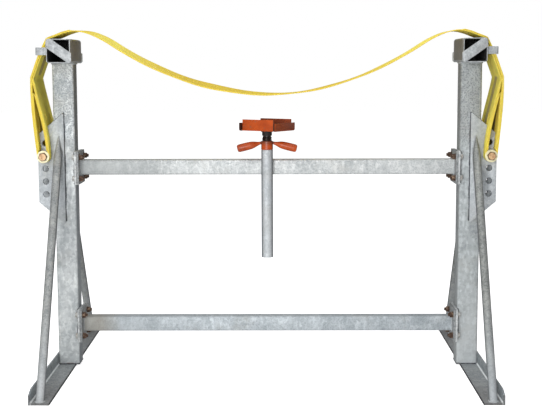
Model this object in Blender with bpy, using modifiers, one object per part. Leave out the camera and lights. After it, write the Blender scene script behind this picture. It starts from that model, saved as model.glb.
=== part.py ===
# Catamaran stern stand: a welded and bolted trestle of galvanised square tube.
# A wide webbing sling hangs between two posts and a screw jack stands on the upper beam.
# Metres, +Z up, +X to the viewer's right, +Y away from the viewer, origin on the floor.
import math

import bmesh
import bpy
from mathutils import Matrix, Vector

# Clearance between pieces that touch, and overlap of shapes joined into one piece
GAP = 0.0003
SEAT = 0.0005

# Posts and the tubes across their tops
POST_SPACING = 1.896
POST_WIDTH = 0.100
POST_WALL = 0.005
POST_CORNER = 0.010
HEAD_SIZE = 0.110
HEAD_WALL = 0.006
HEAD_CORNER = 0.012
HEAD_LENGTH = 0.306
HEAD_BASE_HEIGHT = 1.436
STRIP_WIDTH = 0.045
STRIP_THICKNESS = 0.008
STRIP_ANGLE = math.radians(35.0)
STRIP_RISE = 0.0045
STRIP_OVERHANG = 0.005

# Ground angles under the posts
FOOT_LENGTH = 1.440
FOOT_WIDTH = 0.090
FOOT_HEIGHT = 0.060
FOOT_THICKNESS = 0.008
FOOT_ROOT = 0.009
FOOT_SLOPE_LENGTH = 0.050
FOOT_SLOPE_DROP = 0.018

# Cross beams and their bolted flanges
UPPER_BEAM_HEIGHT = 0.950
LOWER_BEAM_HEIGHT = 0.201
BEAM_SIZE = 0.070
BEAM_WALL = 0.004
BEAM_CORNER = 0.008
FLANGE_DEPTH = 0.180
FLANGE_HEIGHT = 0.155
FLANGE_THICKNESS = 0.010
FLANGE_CORNER = 0.004
FLANGE_PITCH_DEPTH = 0.130
FLANGE_PITCH_HEIGHT = 0.100
FLANGE_HOLE = 0.018
M16_DIAMETER = 0.016
M16_ACROSS_FLATS = 0.024
M16_HEAD = 0.010
M16_NUT = 0.013
M16_TAIL = 0.008
M16_WASHER_DIAMETER = 0.030
M16_WASHER = 0.003

# Leaning tube braces, front and rear
BRACE_DIAMETER = 0.038
BRACE_WALL = 0.003
BRACE_TOP_HEIGHT = 1.000
BRACE_TIP_HEIGHT = 1.096
BRACE_INSET = 0.024
BRACE_FOOT_REACH = 0.695

# Drilled plates that carry the strap bolts
PLATE_THICKNESS = 0.010
PLATE_CENTRE_HEIGHT = 0.946
PLATE_INNER_HEIGHT = 0.519
PLATE_OUTER_HEIGHT = 0.314
PLATE_WIDTH = 0.122
PLATE_LAP = 0.050
PLATE_HOLE = 0.027
PLATE_HOLE_PITCH = 0.0602
PLATE_HOLE_COUNT = 5
PLATE_HOLE_EDGE = 0.035
PLATE_NOSE = 0.005

# Strap bolts, sleeves and washers
BOLT_HOLE_INDEX = 3
BOLT_DIAMETER = 0.024
BOLT_ACROSS_FLATS = 0.036
BOLT_HEAD = 0.015
BOLT_NUT = 0.019
BOLT_TAIL = 0.008
WASHER_DIAMETER = 0.058
WASHER_THICKNESS = 0.005
SLEEVE_DIAMETER = 0.038
SLEEVE_BORE = 0.025

# Flat-bar keepers that hold the sling against the heads
KEEPER_HEIGHT = 0.035
KEEPER_THICKNESS = 0.005
KEEPER_REACH = 0.055
KEEPER_BEND = 0.010
KEEPER_DROP = 0.056
KEEPER_CLEARANCE = 0.006

# Webbing sling
SLING_WIDTH = 0.230
SLING_PLY = 0.005
SLING_LAP_PLY = 0.0045
SLING_LOW_HEIGHT = 1.2885
SHOULDER_INSET = 0.205
SHOULDER_DROP = 0.0106
CREST_INSET = 0.063
CREST_RISE = 0.0365
LAP_END_INSET = 0.053
KINK_OUT = 0.1315
KINK_DROP = 0.1775
NECK_THICKENING = 0.0065
EYE_PLY = 0.009
EYE_SLOT_CLEARANCE = 0.004
EYE_SLOT_RISE = 0.040

# Screw jack on the upper beam
JACK_TUBE_DIAMETER = 0.054
JACK_TUBE_WALL = 0.0035
JACK_TUBE_TOP = 1.034
JACK_TUBE_LENGTH = 0.506
SCREW_DIAMETER = 0.045
SCREW_LENGTH = 0.500
SCREW_STAND = 0.049
SPIGOT_DIAMETER = 0.036
SPIGOT_LENGTH = 0.024
SCREW_CLEARANCE = 0.0003
NUT_HEIGHT = 0.040
NUT_DIAMETER = 0.055
HANDLE_SPAN = 0.287
HANDLE_ROOT_DIAMETER = 0.010
HANDLE_END_DIAMETER = 0.0325
HANDLE_DROOP = 0.0295
HANDLE_ROOT_DROP = 0.008
# How far out along a handle, and how much of its swell it has there
HANDLE_SWELL = ((0.10, 0.0), (0.25, 0.20), (0.50, 0.71), (0.70, 0.90), (0.92, 1.0))
TRAY_TURN = math.radians(-34.0)
TRAY_LENGTH = 0.172
TRAY_WIDTH = 0.154
TRAY_LIP_SPREAD = 0.212
TRAY_PLATE = 0.006
TRAY_FLANGE_HEIGHT = 0.052
TRAY_LIP_HEIGHT = 0.036
TRAY_WELD_STEP = 0.001
COLLAR_WALL = 0.005
BOSS_DIAMETER = 0.055
BOSS_HEIGHT = 0.007

# Facet counts
CORNER_STEPS = 4
ROUND_SIDES = 24
SLEEVE_SIDES = 20
HOLE_SIDES = 16
BOLT_SIDES = 10
SMOOTH_STEPS = 4
EYE_STEPS = 10
EYE_ROUND_STEPS = 10

# Places worked out from the sizes above
POST_X = POST_SPACING / 2
POST_OUTER_X = POST_X + POST_WIDTH / 2
POST_INNER_X = POST_X - POST_WIDTH / 2
POST_FACE_Y = POST_WIDTH / 2
POST_BASE_HEIGHT = FOOT_THICKNESS + GAP
HEAD_CENTRE_HEIGHT = HEAD_BASE_HEIGHT + HEAD_SIZE / 2
HEAD_TOP_HEIGHT = HEAD_BASE_HEIGHT + HEAD_SIZE
HEAD_OUTER_X = POST_X + HEAD_SIZE / 2
PLATE_FRONT_Y = POST_FACE_Y + GAP + PLATE_THICKNESS
PLATE_INNER_X = POST_OUTER_X - PLATE_LAP
PLATE_OUTER_X = PLATE_INNER_X + PLATE_WIDTH
HOLE_X = PLATE_OUTER_X - PLATE_HOLE_EDGE
BOLT_HEIGHT = PLATE_CENTRE_HEIGHT + (BOLT_HOLE_INDEX - (PLATE_HOLE_COUNT - 1) / 2) * PLATE_HOLE_PITCH
EYE_INNER_RADIUS = SLEEVE_DIAMETER / 2 + GAP
EYE_OUTER_RADIUS = EYE_INNER_RADIUS + EYE_PLY
JACK_Y = -(BEAM_SIZE / 2 + GAP + JACK_TUBE_DIAMETER / 2)
NUT_BASE_HEIGHT = JACK_TUBE_TOP + GAP
NUT_TOP_HEIGHT = NUT_BASE_HEIGHT + NUT_HEIGHT
SHOULDER_HEIGHT = NUT_TOP_HEIGHT + SCREW_STAND - SPIGOT_LENGTH
TRAY_BASE_HEIGHT = SHOULDER_HEIGHT + GAP + SPIGOT_LENGTH


def clear_scene():
    """Start from an empty scene."""
    for old in list(bpy.data.objects):
        bpy.data.objects.remove(old, do_unlink=True)


def new_collection(name):
    """Make a collection in the scene."""
    made = bpy.data.collections.new(name)
    bpy.context.scene.collection.children.link(made)
    return made


def new_material(name, colour, roughness, metallic):
    """Make a plain Principled material."""
    made = bpy.data.materials.new(name)
    made.use_nodes = True
    shader = made.node_tree.nodes["Principled BSDF"]
    shader.inputs["Base Color"].default_value = (*colour, 1.0)
    shader.inputs["Roughness"].default_value = roughness
    shader.inputs["Metallic"].default_value = metallic
    made.diffuse_color = (*colour, 1.0)
    return made


def add_object(name, mesh, material=None, location=(0, 0, 0), rotation=(0, 0, 0)):
    """Put a mesh in the stand's collection, or with no material among the cutters."""
    made = bpy.data.objects.new(name, mesh)
    made.location = location
    made.rotation_euler = rotation
    if material is None:
        CUTTERS.objects.link(made)
        made.hide_render = True
        made.display_type = "WIRE"
    else:
        STAND.objects.link(made)
        mesh.materials.clear()
        mesh.materials.append(material)
    return made


def boolean(target, other, operation="DIFFERENCE"):
    """Add an exact Boolean modifier."""
    modifier = target.modifiers.new(operation.lower(), "BOOLEAN")
    modifier.operation = operation
    modifier.solver = "EXACT"
    modifier.object = other
    return modifier


def smooth_round(mesh, angle=35.0):
    """Shade a round piece smooth, with its real edges left sharp."""
    mesh.shade_smooth()
    mesh.set_sharp_from_angle(angle=math.radians(angle))


def arc(centre, radius, start, end, steps):
    """Points along an arc, angles in degrees."""
    points = []
    for step in range(steps + 1):
        angle = math.radians(start + (end - start) * step / steps)
        points.append((centre[0] + radius * math.cos(angle), centre[1] + radius * math.sin(angle)))
    return points


def rounded_rectangle(width, height, radius, steps=CORNER_STEPS):
    """Outline of a rectangle with rounded corners, centred on the origin."""
    points = []
    for sign_x, sign_y, start in ((1, 1, 0), (-1, 1, 90), (-1, -1, 180), (1, -1, 270)):
        centre = (sign_x * (width / 2 - radius), sign_y * (height / 2 - radius))
        points += arc(centre, radius, start, start + 90, steps)
    return points


def circle(centre, diameter, sides):
    """Outline of a circle."""
    return arc(centre, diameter / 2, 0, 360, sides)[:-1]


def bezier(start, handle_a, handle_b, end, steps):
    """Points along one cubic curve."""
    points = []
    for step in range(steps + 1):
        t = step / steps
        weights = ((1 - t) ** 3, 3 * (1 - t) ** 2 * t, 3 * (1 - t) * t * t, t ** 3)
        corners = (start, handle_a, handle_b, end)
        points.append(tuple(sum(w * c[axis] for w, c in zip(weights, corners)) for axis in (0, 1)))
    return points


def extruded(name, outlines, thickness):
    """Mesh of a flat outline with holes, extruded evenly to both sides of its plane."""
    curve = bpy.data.curves.new(name + "_outline", "CURVE")
    curve.dimensions = "2D"
    curve.fill_mode = "BOTH"
    curve.extrude = thickness / 2
    for outline in outlines:
        spline = curve.splines.new("POLY")
        spline.points.add(len(outline) - 1)
        for point, place in zip(spline.points, outline):
            point.co = (place[0], place[1], 0, 1)
        spline.use_cyclic_u = True
    return mesh_of_curve(curve, name)


def mesh_of_curve(curve, name):
    """Turn a curve into a welded mesh and drop the curve."""
    holder = bpy.data.objects.new(name + "_holder", curve)
    bpy.context.scene.collection.objects.link(holder)
    bpy.context.view_layer.update()
    evaluated = holder.evaluated_get(bpy.context.evaluated_depsgraph_get())
    mesh = bpy.data.meshes.new_from_object(evaluated)
    mesh.name = name
    bpy.data.objects.remove(holder, do_unlink=True)
    bpy.data.curves.remove(curve)
    work = bmesh.new()
    work.from_mesh(mesh)
    bmesh.ops.remove_doubles(work, verts=work.verts, dist=0.00001)
    bmesh.ops.recalc_face_normals(work, faces=work.faces)
    work.to_mesh(mesh)
    work.free()
    return mesh


def tube_along(name, start, end, diameter):
    """Mesh of a straight rod between two points."""
    curve = bpy.data.curves.new(name + "_line", "CURVE")
    curve.dimensions = "3D"
    curve.bevel_depth = diameter / 2
    curve.bevel_resolution = 4
    curve.use_fill_caps = True
    spline = curve.splines.new("POLY")
    spline.points.add(1)
    spline.points[0].co = (*start, 1)
    spline.points[1].co = (*end, 1)
    return mesh_of_curve(curve, name)


def box_mesh(name, low, high):
    """Mesh of a box between two corners."""
    work = bmesh.new()
    size = [high[axis] - low[axis] for axis in range(3)]
    centre = [(high[axis] + low[axis]) / 2 for axis in range(3)]
    place = Matrix.Translation(centre) @ Matrix.Diagonal((*size, 1))
    bmesh.ops.create_cube(work, size=1, matrix=place)
    mesh = bpy.data.meshes.new(name)
    work.to_mesh(mesh)
    work.free()
    return mesh


def joined(name, meshes):
    """One mesh that holds several separate solids."""
    work = bmesh.new()
    for mesh, place in meshes:
        piece = mesh.copy()
        piece.transform(place)
        work.from_mesh(piece)
        bpy.data.meshes.remove(piece)
    mesh = bpy.data.meshes.new(name)
    work.to_mesh(mesh)
    work.free()
    return mesh


def turned(name, profile, sides, angle=35.0):
    """Mesh of a profile of (radius, height) points, turned about Z by a Screw modifier."""
    mesh = bpy.data.meshes.new(name + "_profile")
    work = bmesh.new()
    points = [work.verts.new((radius, 0, height)) for radius, height in profile]
    for first, second in zip(points, points[1:] + points[:1]):
        if first.co.x > 0 or second.co.x > 0:
            work.edges.new((first, second))
    work.to_mesh(mesh)
    work.free()
    holder = bpy.data.objects.new(name + "_holder", mesh)
    bpy.context.scene.collection.objects.link(holder)
    screw = holder.modifiers.new("turn", "SCREW")
    screw.steps = sides
    screw.render_steps = sides
    screw.use_merge_vertices = True
    screw.merge_threshold = 0.00005
    screw.use_smooth_shade = False
    bpy.context.view_layer.update()
    evaluated = holder.evaluated_get(bpy.context.evaluated_depsgraph_get())
    result = bpy.data.meshes.new_from_object(evaluated)
    result.name = name
    bpy.data.objects.remove(holder, do_unlink=True)
    work = bmesh.new()
    work.from_mesh(result)
    bmesh.ops.recalc_face_normals(work, faces=work.faces)
    work.to_mesh(result)
    work.free()
    smooth_round(result, angle)
    return result


def side_place(side, place):
    """Mirror a point of the right-hand side to the side that is asked for."""
    return (side * place[0], place[1], place[2])


def side_outline(side, outline):
    """Mirror an outline of the right-hand side."""
    return [(side * x, y) for x, y in outline]


def square_tube(name, size, wall, corner, length):
    """Square hollow section along Z."""
    outer = rounded_rectangle(size, size, corner)
    inner = rounded_rectangle(size - 2 * wall, size - 2 * wall, corner - wall * 0.6)
    mesh = extruded(name, [outer, inner], length)
    smooth_round(mesh)
    return mesh


def make_foot(side, label):
    """Ground angle: flat leg on the floor, upright leg outside the post, its ends sloped off."""
    outer_x = POST_OUTER_X + GAP + FOOT_THICKNESS
    inner_x = outer_x - FOOT_WIDTH
    root = (outer_x - FOOT_THICKNESS - FOOT_ROOT, FOOT_THICKNESS + FOOT_ROOT)
    outline = [(inner_x, 0), (outer_x, 0), (outer_x, FOOT_HEIGHT), (outer_x - FOOT_THICKNESS, FOOT_HEIGHT)]
    outline += [(x, y) for x, y in arc(root, FOOT_ROOT, 0, -90, CORNER_STEPS)]
    outline += [(inner_x, FOOT_THICKNESS)]
    mesh = extruded("foot_angle_" + label, [side_outline(side, outline)], FOOT_LENGTH)
    foot = add_object("foot_angle_" + label, mesh, GALVANISED, rotation=(math.pi / 2, 0, 0))
    reach = FOOT_HEIGHT
    fall = FOOT_SLOPE_DROP / FOOT_SLOPE_LENGTH
    end = FOOT_LENGTH / 2
    wedges = []
    for sign in (-1, 1):
        start = sign * (end - FOOT_SLOPE_LENGTH)
        beyond = sign * (end + reach)
        low = FOOT_HEIGHT - fall * (FOOT_SLOPE_LENGTH + reach)
        high = FOOT_HEIGHT + reach
        corner = [(start, FOOT_HEIGHT), (beyond, low), (beyond, high), (start, high)]
        wedge = extruded("foot_wedge", [corner], 2 * FOOT_THICKNESS)
        wedges.append((wedge, Matrix.Identity(4)))
    cutter = add_object(
        "foot_slope_" + label,
        joined("foot_slope_" + label, wedges),
        location=side_place(side, (outer_x - FOOT_THICKNESS / 2, 0, 0)),
        rotation=(math.pi / 2, 0, math.pi / 2),
    )
    boolean(foot, cutter)


def make_post(side, label):
    """Upright square tube, open at both ends, its outer foot edge bevelled for the angle's root."""
    length = HEAD_BASE_HEIGHT - GAP - POST_BASE_HEIGHT
    mesh = square_tube("post_" + label, POST_WIDTH, POST_WALL, POST_CORNER, length)
    post = add_object("post_" + label, mesh, GALVANISED, (side * POST_X, 0, POST_BASE_HEIGHT + length / 2))
    reach = POST_WIDTH
    bevel = FOOT_ROOT + GAP
    corner = [
        (POST_OUTER_X - bevel - reach, POST_BASE_HEIGHT - reach),
        (POST_OUTER_X + reach, POST_BASE_HEIGHT - reach),
        (POST_OUTER_X + reach, POST_BASE_HEIGHT + bevel + reach),
    ]
    wedge = extruded("post_bevel_" + label, [side_outline(side, corner)], 2 * POST_WIDTH)
    boolean(post, add_object("post_bevel_" + label, wedge, rotation=(math.pi / 2, 0, 0)))


def make_head(side, label):
    """Short square tube laid front to back over the post, with a strip across each open end."""
    turn = (math.pi / 2, 0, 0)
    mesh = square_tube("head_tube_" + label, HEAD_SIZE, HEAD_WALL, HEAD_CORNER, HEAD_LENGTH)
    add_object("head_tube_" + label, mesh, GALVANISED, (side * POST_X, 0, HEAD_CENTRE_HEIGHT), turn)
    strip_y = HEAD_LENGTH / 2 + GAP + STRIP_THICKNESS / 2
    trim_width = HEAD_SIZE + STRIP_OVERHANG
    trim = rounded_rectangle(trim_width, HEAD_SIZE, HEAD_CORNER)
    half = HEAD_SIZE
    centre = (side * POST_X, HEAD_CENTRE_HEIGHT)
    for end, end_label in ((-1, "front"), (1, "rear")):
        name = "head_strip_" + end_label + "_" + label
        edge = STRIP_WIDTH / 2
        bar = [(-half, -edge), (half, -edge), (half, edge), (-half, edge)]
        mesh = extruded(name, [bar], STRIP_THICKNESS)
        mesh.transform(Matrix.Rotation(side * STRIP_ANGLE, 4, "Z"))
        mesh.transform(Matrix.Translation((0, STRIP_RISE, 0)))
        strip = add_object(name, mesh, GALVANISED, (centre[0], end * strip_y, centre[1]), turn)
        trim_mesh = extruded(name + "_trim", [trim], 2 * STRIP_THICKNESS)
        trim_x = centre[0] - side * STRIP_OVERHANG / 2
        cutter = add_object(name + "_trim", trim_mesh, None, (trim_x, end * strip_y, centre[1]), turn)
        boolean(strip, cutter, "INTERSECT")


def make_keeper(side, label):
    """Flat bar bent to a loop round the outside of the sling and welded to the head."""
    inner_y = SLING_WIDTH / 2 + KEEPER_CLEARANCE
    start_x = HEAD_OUTER_X + GAP
    end_x = HEAD_OUTER_X + KEEPER_REACH
    outer_y = inner_y + KEEPER_THICKNESS
    inner_bend = KEEPER_BEND - KEEPER_THICKNESS
    outline = [(start_x, -outer_y)]
    outline += arc((end_x - KEEPER_BEND, -outer_y + KEEPER_BEND), KEEPER_BEND, -90, 0, CORNER_STEPS)
    outline += arc((end_x - KEEPER_BEND, outer_y - KEEPER_BEND), KEEPER_BEND, 0, 90, CORNER_STEPS)
    outline += [(start_x, outer_y), (start_x, inner_y)]
    outline += arc((end_x - KEEPER_BEND, inner_y - inner_bend), inner_bend, 90, 0, CORNER_STEPS)
    outline += arc((end_x - KEEPER_BEND, -inner_y + inner_bend), inner_bend, 0, -90, CORNER_STEPS)
    outline += [(start_x, -inner_y)]
    mesh = extruded("strap_keeper_" + label, [side_outline(side, outline)], KEEPER_HEIGHT)
    smooth_round(mesh)
    height = HEAD_TOP_HEIGHT - KEEPER_DROP
    add_object("strap_keeper_" + label, mesh, GALVANISED, (0, 0, height))


def hole_height(index):
    """Height of one hole in the strap plates, counted from the bottom."""
    return PLATE_CENTRE_HEIGHT + (index - (PLATE_HOLE_COUNT - 1) / 2) * PLATE_HOLE_PITCH


def plate_outline():
    """Strap plate seen from the front: tall on the post, shorter at its drilled outer edge."""
    high = PLATE_INNER_HEIGHT / 2
    low = PLATE_OUTER_HEIGHT / 2
    half = [
        (PLATE_INNER_X, high - PLATE_NOSE),
        (PLATE_INNER_X + PLATE_NOSE, high - PLATE_NOSE / 2),
        (PLATE_OUTER_X - PLATE_NOSE, low + PLATE_NOSE),
        (PLATE_OUTER_X, low),
    ]
    top = [(x, PLATE_CENTRE_HEIGHT + z) for x, z in half]
    bottom = [(x, PLATE_CENTRE_HEIGHT - z) for x, z in reversed(half)]
    return top + bottom


def make_strap_plates(side, label):
    """Two drilled plates on the post's front and back faces, standing out past its side."""
    heights = [hole_height(index) for index in range(PLATE_HOLE_COUNT)]
    holes = [circle((HOLE_X, height), PLATE_HOLE, HOLE_SIDES) for height in heights]
    outlines = [side_outline(side, outline) for outline in [plate_outline()] + holes]
    for end, end_label in ((-1, "front"), (1, "rear")):
        name = "strap_plate_" + end_label + "_" + label
        mesh = extruded(name, outlines, PLATE_THICKNESS)
        smooth_round(mesh)
        depth = end * (PLATE_FRONT_Y - PLATE_THICKNESS / 2)
        add_object(name, mesh, GALVANISED, (0, depth, 0), (math.pi / 2, 0, 0))


def make_brace(side, label, end, end_label):
    """Round tube from the strap plate down to the ground angle, its top end forged to a point."""
    name = end_label + "_brace_" + label
    meeting_height = (BRACE_TOP_HEIGHT + BRACE_TIP_HEIGHT) / 2
    lean = (BRACE_FOOT_REACH - PLATE_FRONT_Y) / meeting_height
    top_x = POST_X + BRACE_INSET
    foot_x = POST_OUTER_X + FOOT_THICKNESS - FOOT_WIDTH / 2
    top = Vector((side * top_x, end * (BRACE_FOOT_REACH - lean * BRACE_TOP_HEIGHT), BRACE_TOP_HEIGHT))
    foot = Vector((side * foot_x, end * BRACE_FOOT_REACH, 0))
    tip = Vector((side * top_x, end * PLATE_FRONT_Y, BRACE_TIP_HEIGHT))
    along = (foot - top).normalized()
    outside = tube_along(name, top, foot + along * BRACE_DIAMETER, BRACE_DIAMETER)
    brace = add_object(name, outside, GALVANISED)
    smooth_round(outside)
    work = bmesh.new()
    axis = tip - top
    turn = axis.to_track_quat("Z", "Y").to_matrix().to_4x4()
    blend = top + along * BRACE_DIAMETER / 4
    reach = (tip - blend).length
    bmesh.ops.create_cone(
        work,
        cap_ends=True,
        segments=ROUND_SIDES,
        radius1=BRACE_DIAMETER / 2,
        radius2=BRACE_DIAMETER / 20,
        depth=reach,
        matrix=Matrix.Translation((tip + blend) / 2) @ turn,
    )
    cone = bpy.data.meshes.new(name + "_point")
    work.to_mesh(cone)
    work.free()
    boolean(brace, add_object(name + "_point", cone), "UNION")
    bore_top = top + along * BRACE_DIAMETER / 2
    bore_foot = foot + along * 2 * BRACE_DIAMETER
    bore = tube_along(name + "_bore", bore_top, bore_foot, BRACE_DIAMETER - 2 * BRACE_WALL)
    boolean(brace, add_object(name + "_bore", bore))
    far = PLATE_FRONT_Y + GAP
    low = (-BRACE_TIP_HEIGHT, min(0, end * far), -BRACE_DIAMETER * 3)
    high = (BRACE_TIP_HEIGHT, max(0, end * far), 2 * BRACE_TIP_HEIGHT)
    boolean(brace, add_object(name + "_wall", box_mesh(name + "_wall", low, high)))
    low = (-BRACE_TIP_HEIGHT, -FOOT_LENGTH, -BRACE_DIAMETER * 3)
    high = (BRACE_TIP_HEIGHT, FOOT_LENGTH, FOOT_THICKNESS + GAP)
    boolean(brace, add_object(name + "_floor", box_mesh(name + "_floor", low, high)))


def flange_mesh(name):
    """Drilled square flange, lying in the YZ plane."""
    holes = []
    for sign_y in (-1, 1):
        for sign_z in (-1, 1):
            centre = (sign_y * FLANGE_PITCH_DEPTH / 2, sign_z * FLANGE_PITCH_HEIGHT / 2)
            holes.append(circle(centre, FLANGE_HOLE, BOLT_SIDES))
    outline = rounded_rectangle(FLANGE_DEPTH, FLANGE_HEIGHT, FLANGE_CORNER, 2)
    return extruded(name, [outline] + holes, FLANGE_THICKNESS)


def hex_outline(across_flats):
    """Outline of a hexagon with two corners on the X axis."""
    return circle((0, 0), across_flats / math.cos(math.pi / 6), 6)


def union_mesh(name, pieces):
    """One closed mesh from pieces that overlap."""
    holder = add_object(name + "_whole", pieces[0])
    for index, piece in enumerate(pieces[1:]):
        boolean(holder, add_object(name + "_piece_" + str(index), piece), "UNION")
    bpy.context.view_layer.update()
    evaluated = holder.evaluated_get(bpy.context.evaluated_depsgraph_get())
    mesh = bpy.data.meshes.new_from_object(evaluated)
    mesh.name = name
    return mesh


def prism(name, outline, low, high):
    """Mesh of an outline extruded between two heights."""
    mesh = extruded(name, [outline], high - low)
    mesh.transform(Matrix.Translation((0, 0, (low + high) / 2)))
    return mesh


def hex_bolt(name, across_flats, head, diameter, length, sides):
    """Bolt along Z, its head below zero and its shank above."""
    head_mesh = prism(name + "_head", hex_outline(across_flats), -head, 0)
    shank = prism(name + "_shank", circle((0, 0), diameter, sides), -head / 2, length)
    return union_mesh(name, [head_mesh, shank])


def bolt_mesh(name, washer, length):
    """M16 bolt with a washer under its head, its seat at zero and its shank above."""
    thickness = washer[1]
    head = prism(name + "_head", hex_outline(M16_ACROSS_FLATS), -thickness - M16_HEAD, -thickness / 2)
    disc = prism(name + "_washer", circle((0, 0), washer[0], BOLT_SIDES), -thickness, 0)
    shank = prism(name + "_shank", circle((0, 0), M16_DIAMETER, BOLT_SIDES), -thickness, length)
    return union_mesh(name, [head, disc, shank])


def nut_mesh(name, washer):
    """M16 nut on its washer, its seat at zero and its body above."""
    thickness = washer[1]
    body = prism(name + "_body", hex_outline(M16_ACROSS_FLATS), thickness / 2, thickness + M16_NUT)
    disc = prism(name + "_washer", circle((0, 0), washer[0], BOLT_SIDES), 0, thickness)
    bore = prism(name + "_bore", circle((0, 0), M16_DIAMETER + 2 * GAP, BOLT_SIDES), -M16_NUT, 2 * M16_NUT)
    solid = union_mesh(name + "_solid", [body, disc])
    holder = add_object(name + "_blank", solid)
    boolean(holder, add_object(name + "_bore", bore))
    bpy.context.view_layer.update()
    evaluated = holder.evaluated_get(bpy.context.evaluated_depsgraph_get())
    return bpy.data.meshes.new_from_object(evaluated)


def ring_mesh(name, outer, bore, thickness, sides):
    """Flat ring or sleeve about Z."""
    mesh = extruded(name, [circle((0, 0), outer, sides), circle((0, 0), bore, sides)], thickness)
    smooth_round(mesh)
    return mesh


def hex_nut(name, across_flats, bore, thickness, sides):
    """Hexagon nut about Z."""
    return extruded(name, [hex_outline(across_flats), circle((0, 0), bore, sides)], thickness)


def add_flange(name, place, height, fixings):
    """Flange plate across the X axis with its four fixings joined to it."""
    turn = (math.pi / 2, 0, math.pi / 2)
    flange = add_object(name, flange_mesh(name), GALVANISED, (place, 0, height), turn)
    boolean(flange, add_object(name + "_fixings", joined(name + "_fixings", fixings)), "UNION")


def make_joint(side, label, level, height):
    """Bolted pair of flanges between a post and a beam: bolts in one flange, nuts on the other."""
    tag = level + "_" + label
    post_x = POST_INNER_X - GAP - FLANGE_THICKNESS / 2
    beam_x = post_x - FLANGE_THICKNESS - GAP
    seat_x = post_x + FLANGE_THICKNESS / 2 - SEAT
    nut_face_x = beam_x - FLANGE_THICKNESS / 2 + SEAT
    grip = seat_x - nut_face_x
    washer = (M16_WASHER_DIAMETER, M16_WASHER + SEAT)
    bolt = bolt_mesh("m16_bolt_" + tag, washer, grip + washer[1] + M16_NUT + M16_TAIL)
    nut = nut_mesh("m16_nut_" + tag, washer)
    inward = Matrix.Rotation(-side * math.pi / 2, 4, "Y")
    bolts = []
    nuts = []
    for sign_y in (-1, 1):
        for sign_z in (-1, 1):
            depth = sign_y * FLANGE_PITCH_DEPTH / 2
            rise = height + sign_z * FLANGE_PITCH_HEIGHT / 2
            bolts.append((bolt, Matrix.Translation((side * seat_x, depth, rise)) @ inward))
            nuts.append((nut, Matrix.Translation((side * nut_face_x, depth, rise)) @ inward))
    add_flange("post_flange_" + tag, side * post_x, height, bolts)
    add_flange("beam_flange_" + tag, side * beam_x, height, nuts)


def make_beam(level, height):
    """Square tube between the flanges of both posts."""
    end_x = POST_INNER_X - 2 * (FLANGE_THICKNESS + GAP) - GAP
    mesh = square_tube(level + "_beam", BEAM_SIZE, BEAM_WALL, BEAM_CORNER, 2 * end_x)
    add_object(level + "_beam", mesh, GALVANISED, (0, 0, height), (0, math.pi / 2, 0))


def make_strap_bolt(side, label):
    """Long bolt through both strap plates, with sleeves for the sling and a washer at each end."""
    place = side_place(side, (HOLE_X, 0, BOLT_HEIGHT))
    sleeve_start = PLATE_FRONT_Y + GAP
    sleeve_length = SLING_WIDTH / 2 - sleeve_start
    washer_start = SLING_WIDTH / 2 + GAP
    head_y = washer_start + WASHER_THICKNESS + GAP
    length = 2 * head_y + BOLT_NUT + BOLT_TAIL
    bolt = hex_bolt("strap_bolt_" + label, BOLT_ACROSS_FLATS, BOLT_HEAD, BOLT_DIAMETER, length, SLEEVE_SIDES)
    smooth_round(bolt)
    turn = (-math.pi / 2, 0, 0)
    add_object("strap_bolt_" + label, bolt, YELLOW_ZINC, (place[0], -head_y, place[2]), turn)
    nut_bore = BOLT_DIAMETER + 2 * GAP
    nut = hex_nut("strap_bolt_nut_" + label, BOLT_ACROSS_FLATS, nut_bore, BOLT_NUT, SLEEVE_SIDES)
    nut_y = head_y + BOLT_NUT / 2
    add_object("strap_bolt_nut_" + label, nut, YELLOW_ZINC, (place[0], nut_y, place[2]), turn)
    washer = ring_mesh("washer", WASHER_DIAMETER, SLEEVE_BORE, WASHER_THICKNESS, ROUND_SIDES)
    short = ring_mesh("sleeve", SLEEVE_DIAMETER, SLEEVE_BORE, sleeve_length, SLEEVE_SIDES)
    middle = ring_mesh("spacer", SLEEVE_DIAMETER, SLEEVE_BORE, 2 * (POST_FACE_Y - GAP), SLEEVE_SIDES)
    pieces = [("strap_sleeve_middle_", middle, 0, GALVANISED)]
    for end, end_label in ((-1, "front_"), (1, "rear_")):
        washer_y = end * (washer_start + WASHER_THICKNESS / 2)
        sleeve_y = end * (sleeve_start + sleeve_length / 2)
        pieces.append(("strap_washer_" + end_label, washer, washer_y, YELLOW_ZINC))
        pieces.append(("strap_sleeve_" + end_label, short, sleeve_y, GALVANISED))
    for name, mesh, depth, material in pieces:
        add_object(name + label, mesh.copy(), material, (place[0], depth, place[2]), turn)


def smooth_path(points, steps):
    """Points along a smooth curve through the given ones (Catmull-Rom)."""
    padded = [points[0]] + list(points) + [points[-1]]
    path = []
    for before, start, end, after in zip(padded, padded[1:], padded[2:], padded[3:]):
        for step in range(steps):
            t = step / steps
            place = []
            for axis in (0, 1):
                a, b, c, d = before[axis], start[axis], end[axis], after[axis]
                curve = 2 * b + (c - a) * t + (2 * a - 5 * b + 4 * c - d) * t * t
                place.append((curve + (3 * b - a - 3 * c + d) * t ** 3) / 2)
            path.append(tuple(place))
    return path + [tuple(points[-1])]


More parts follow.
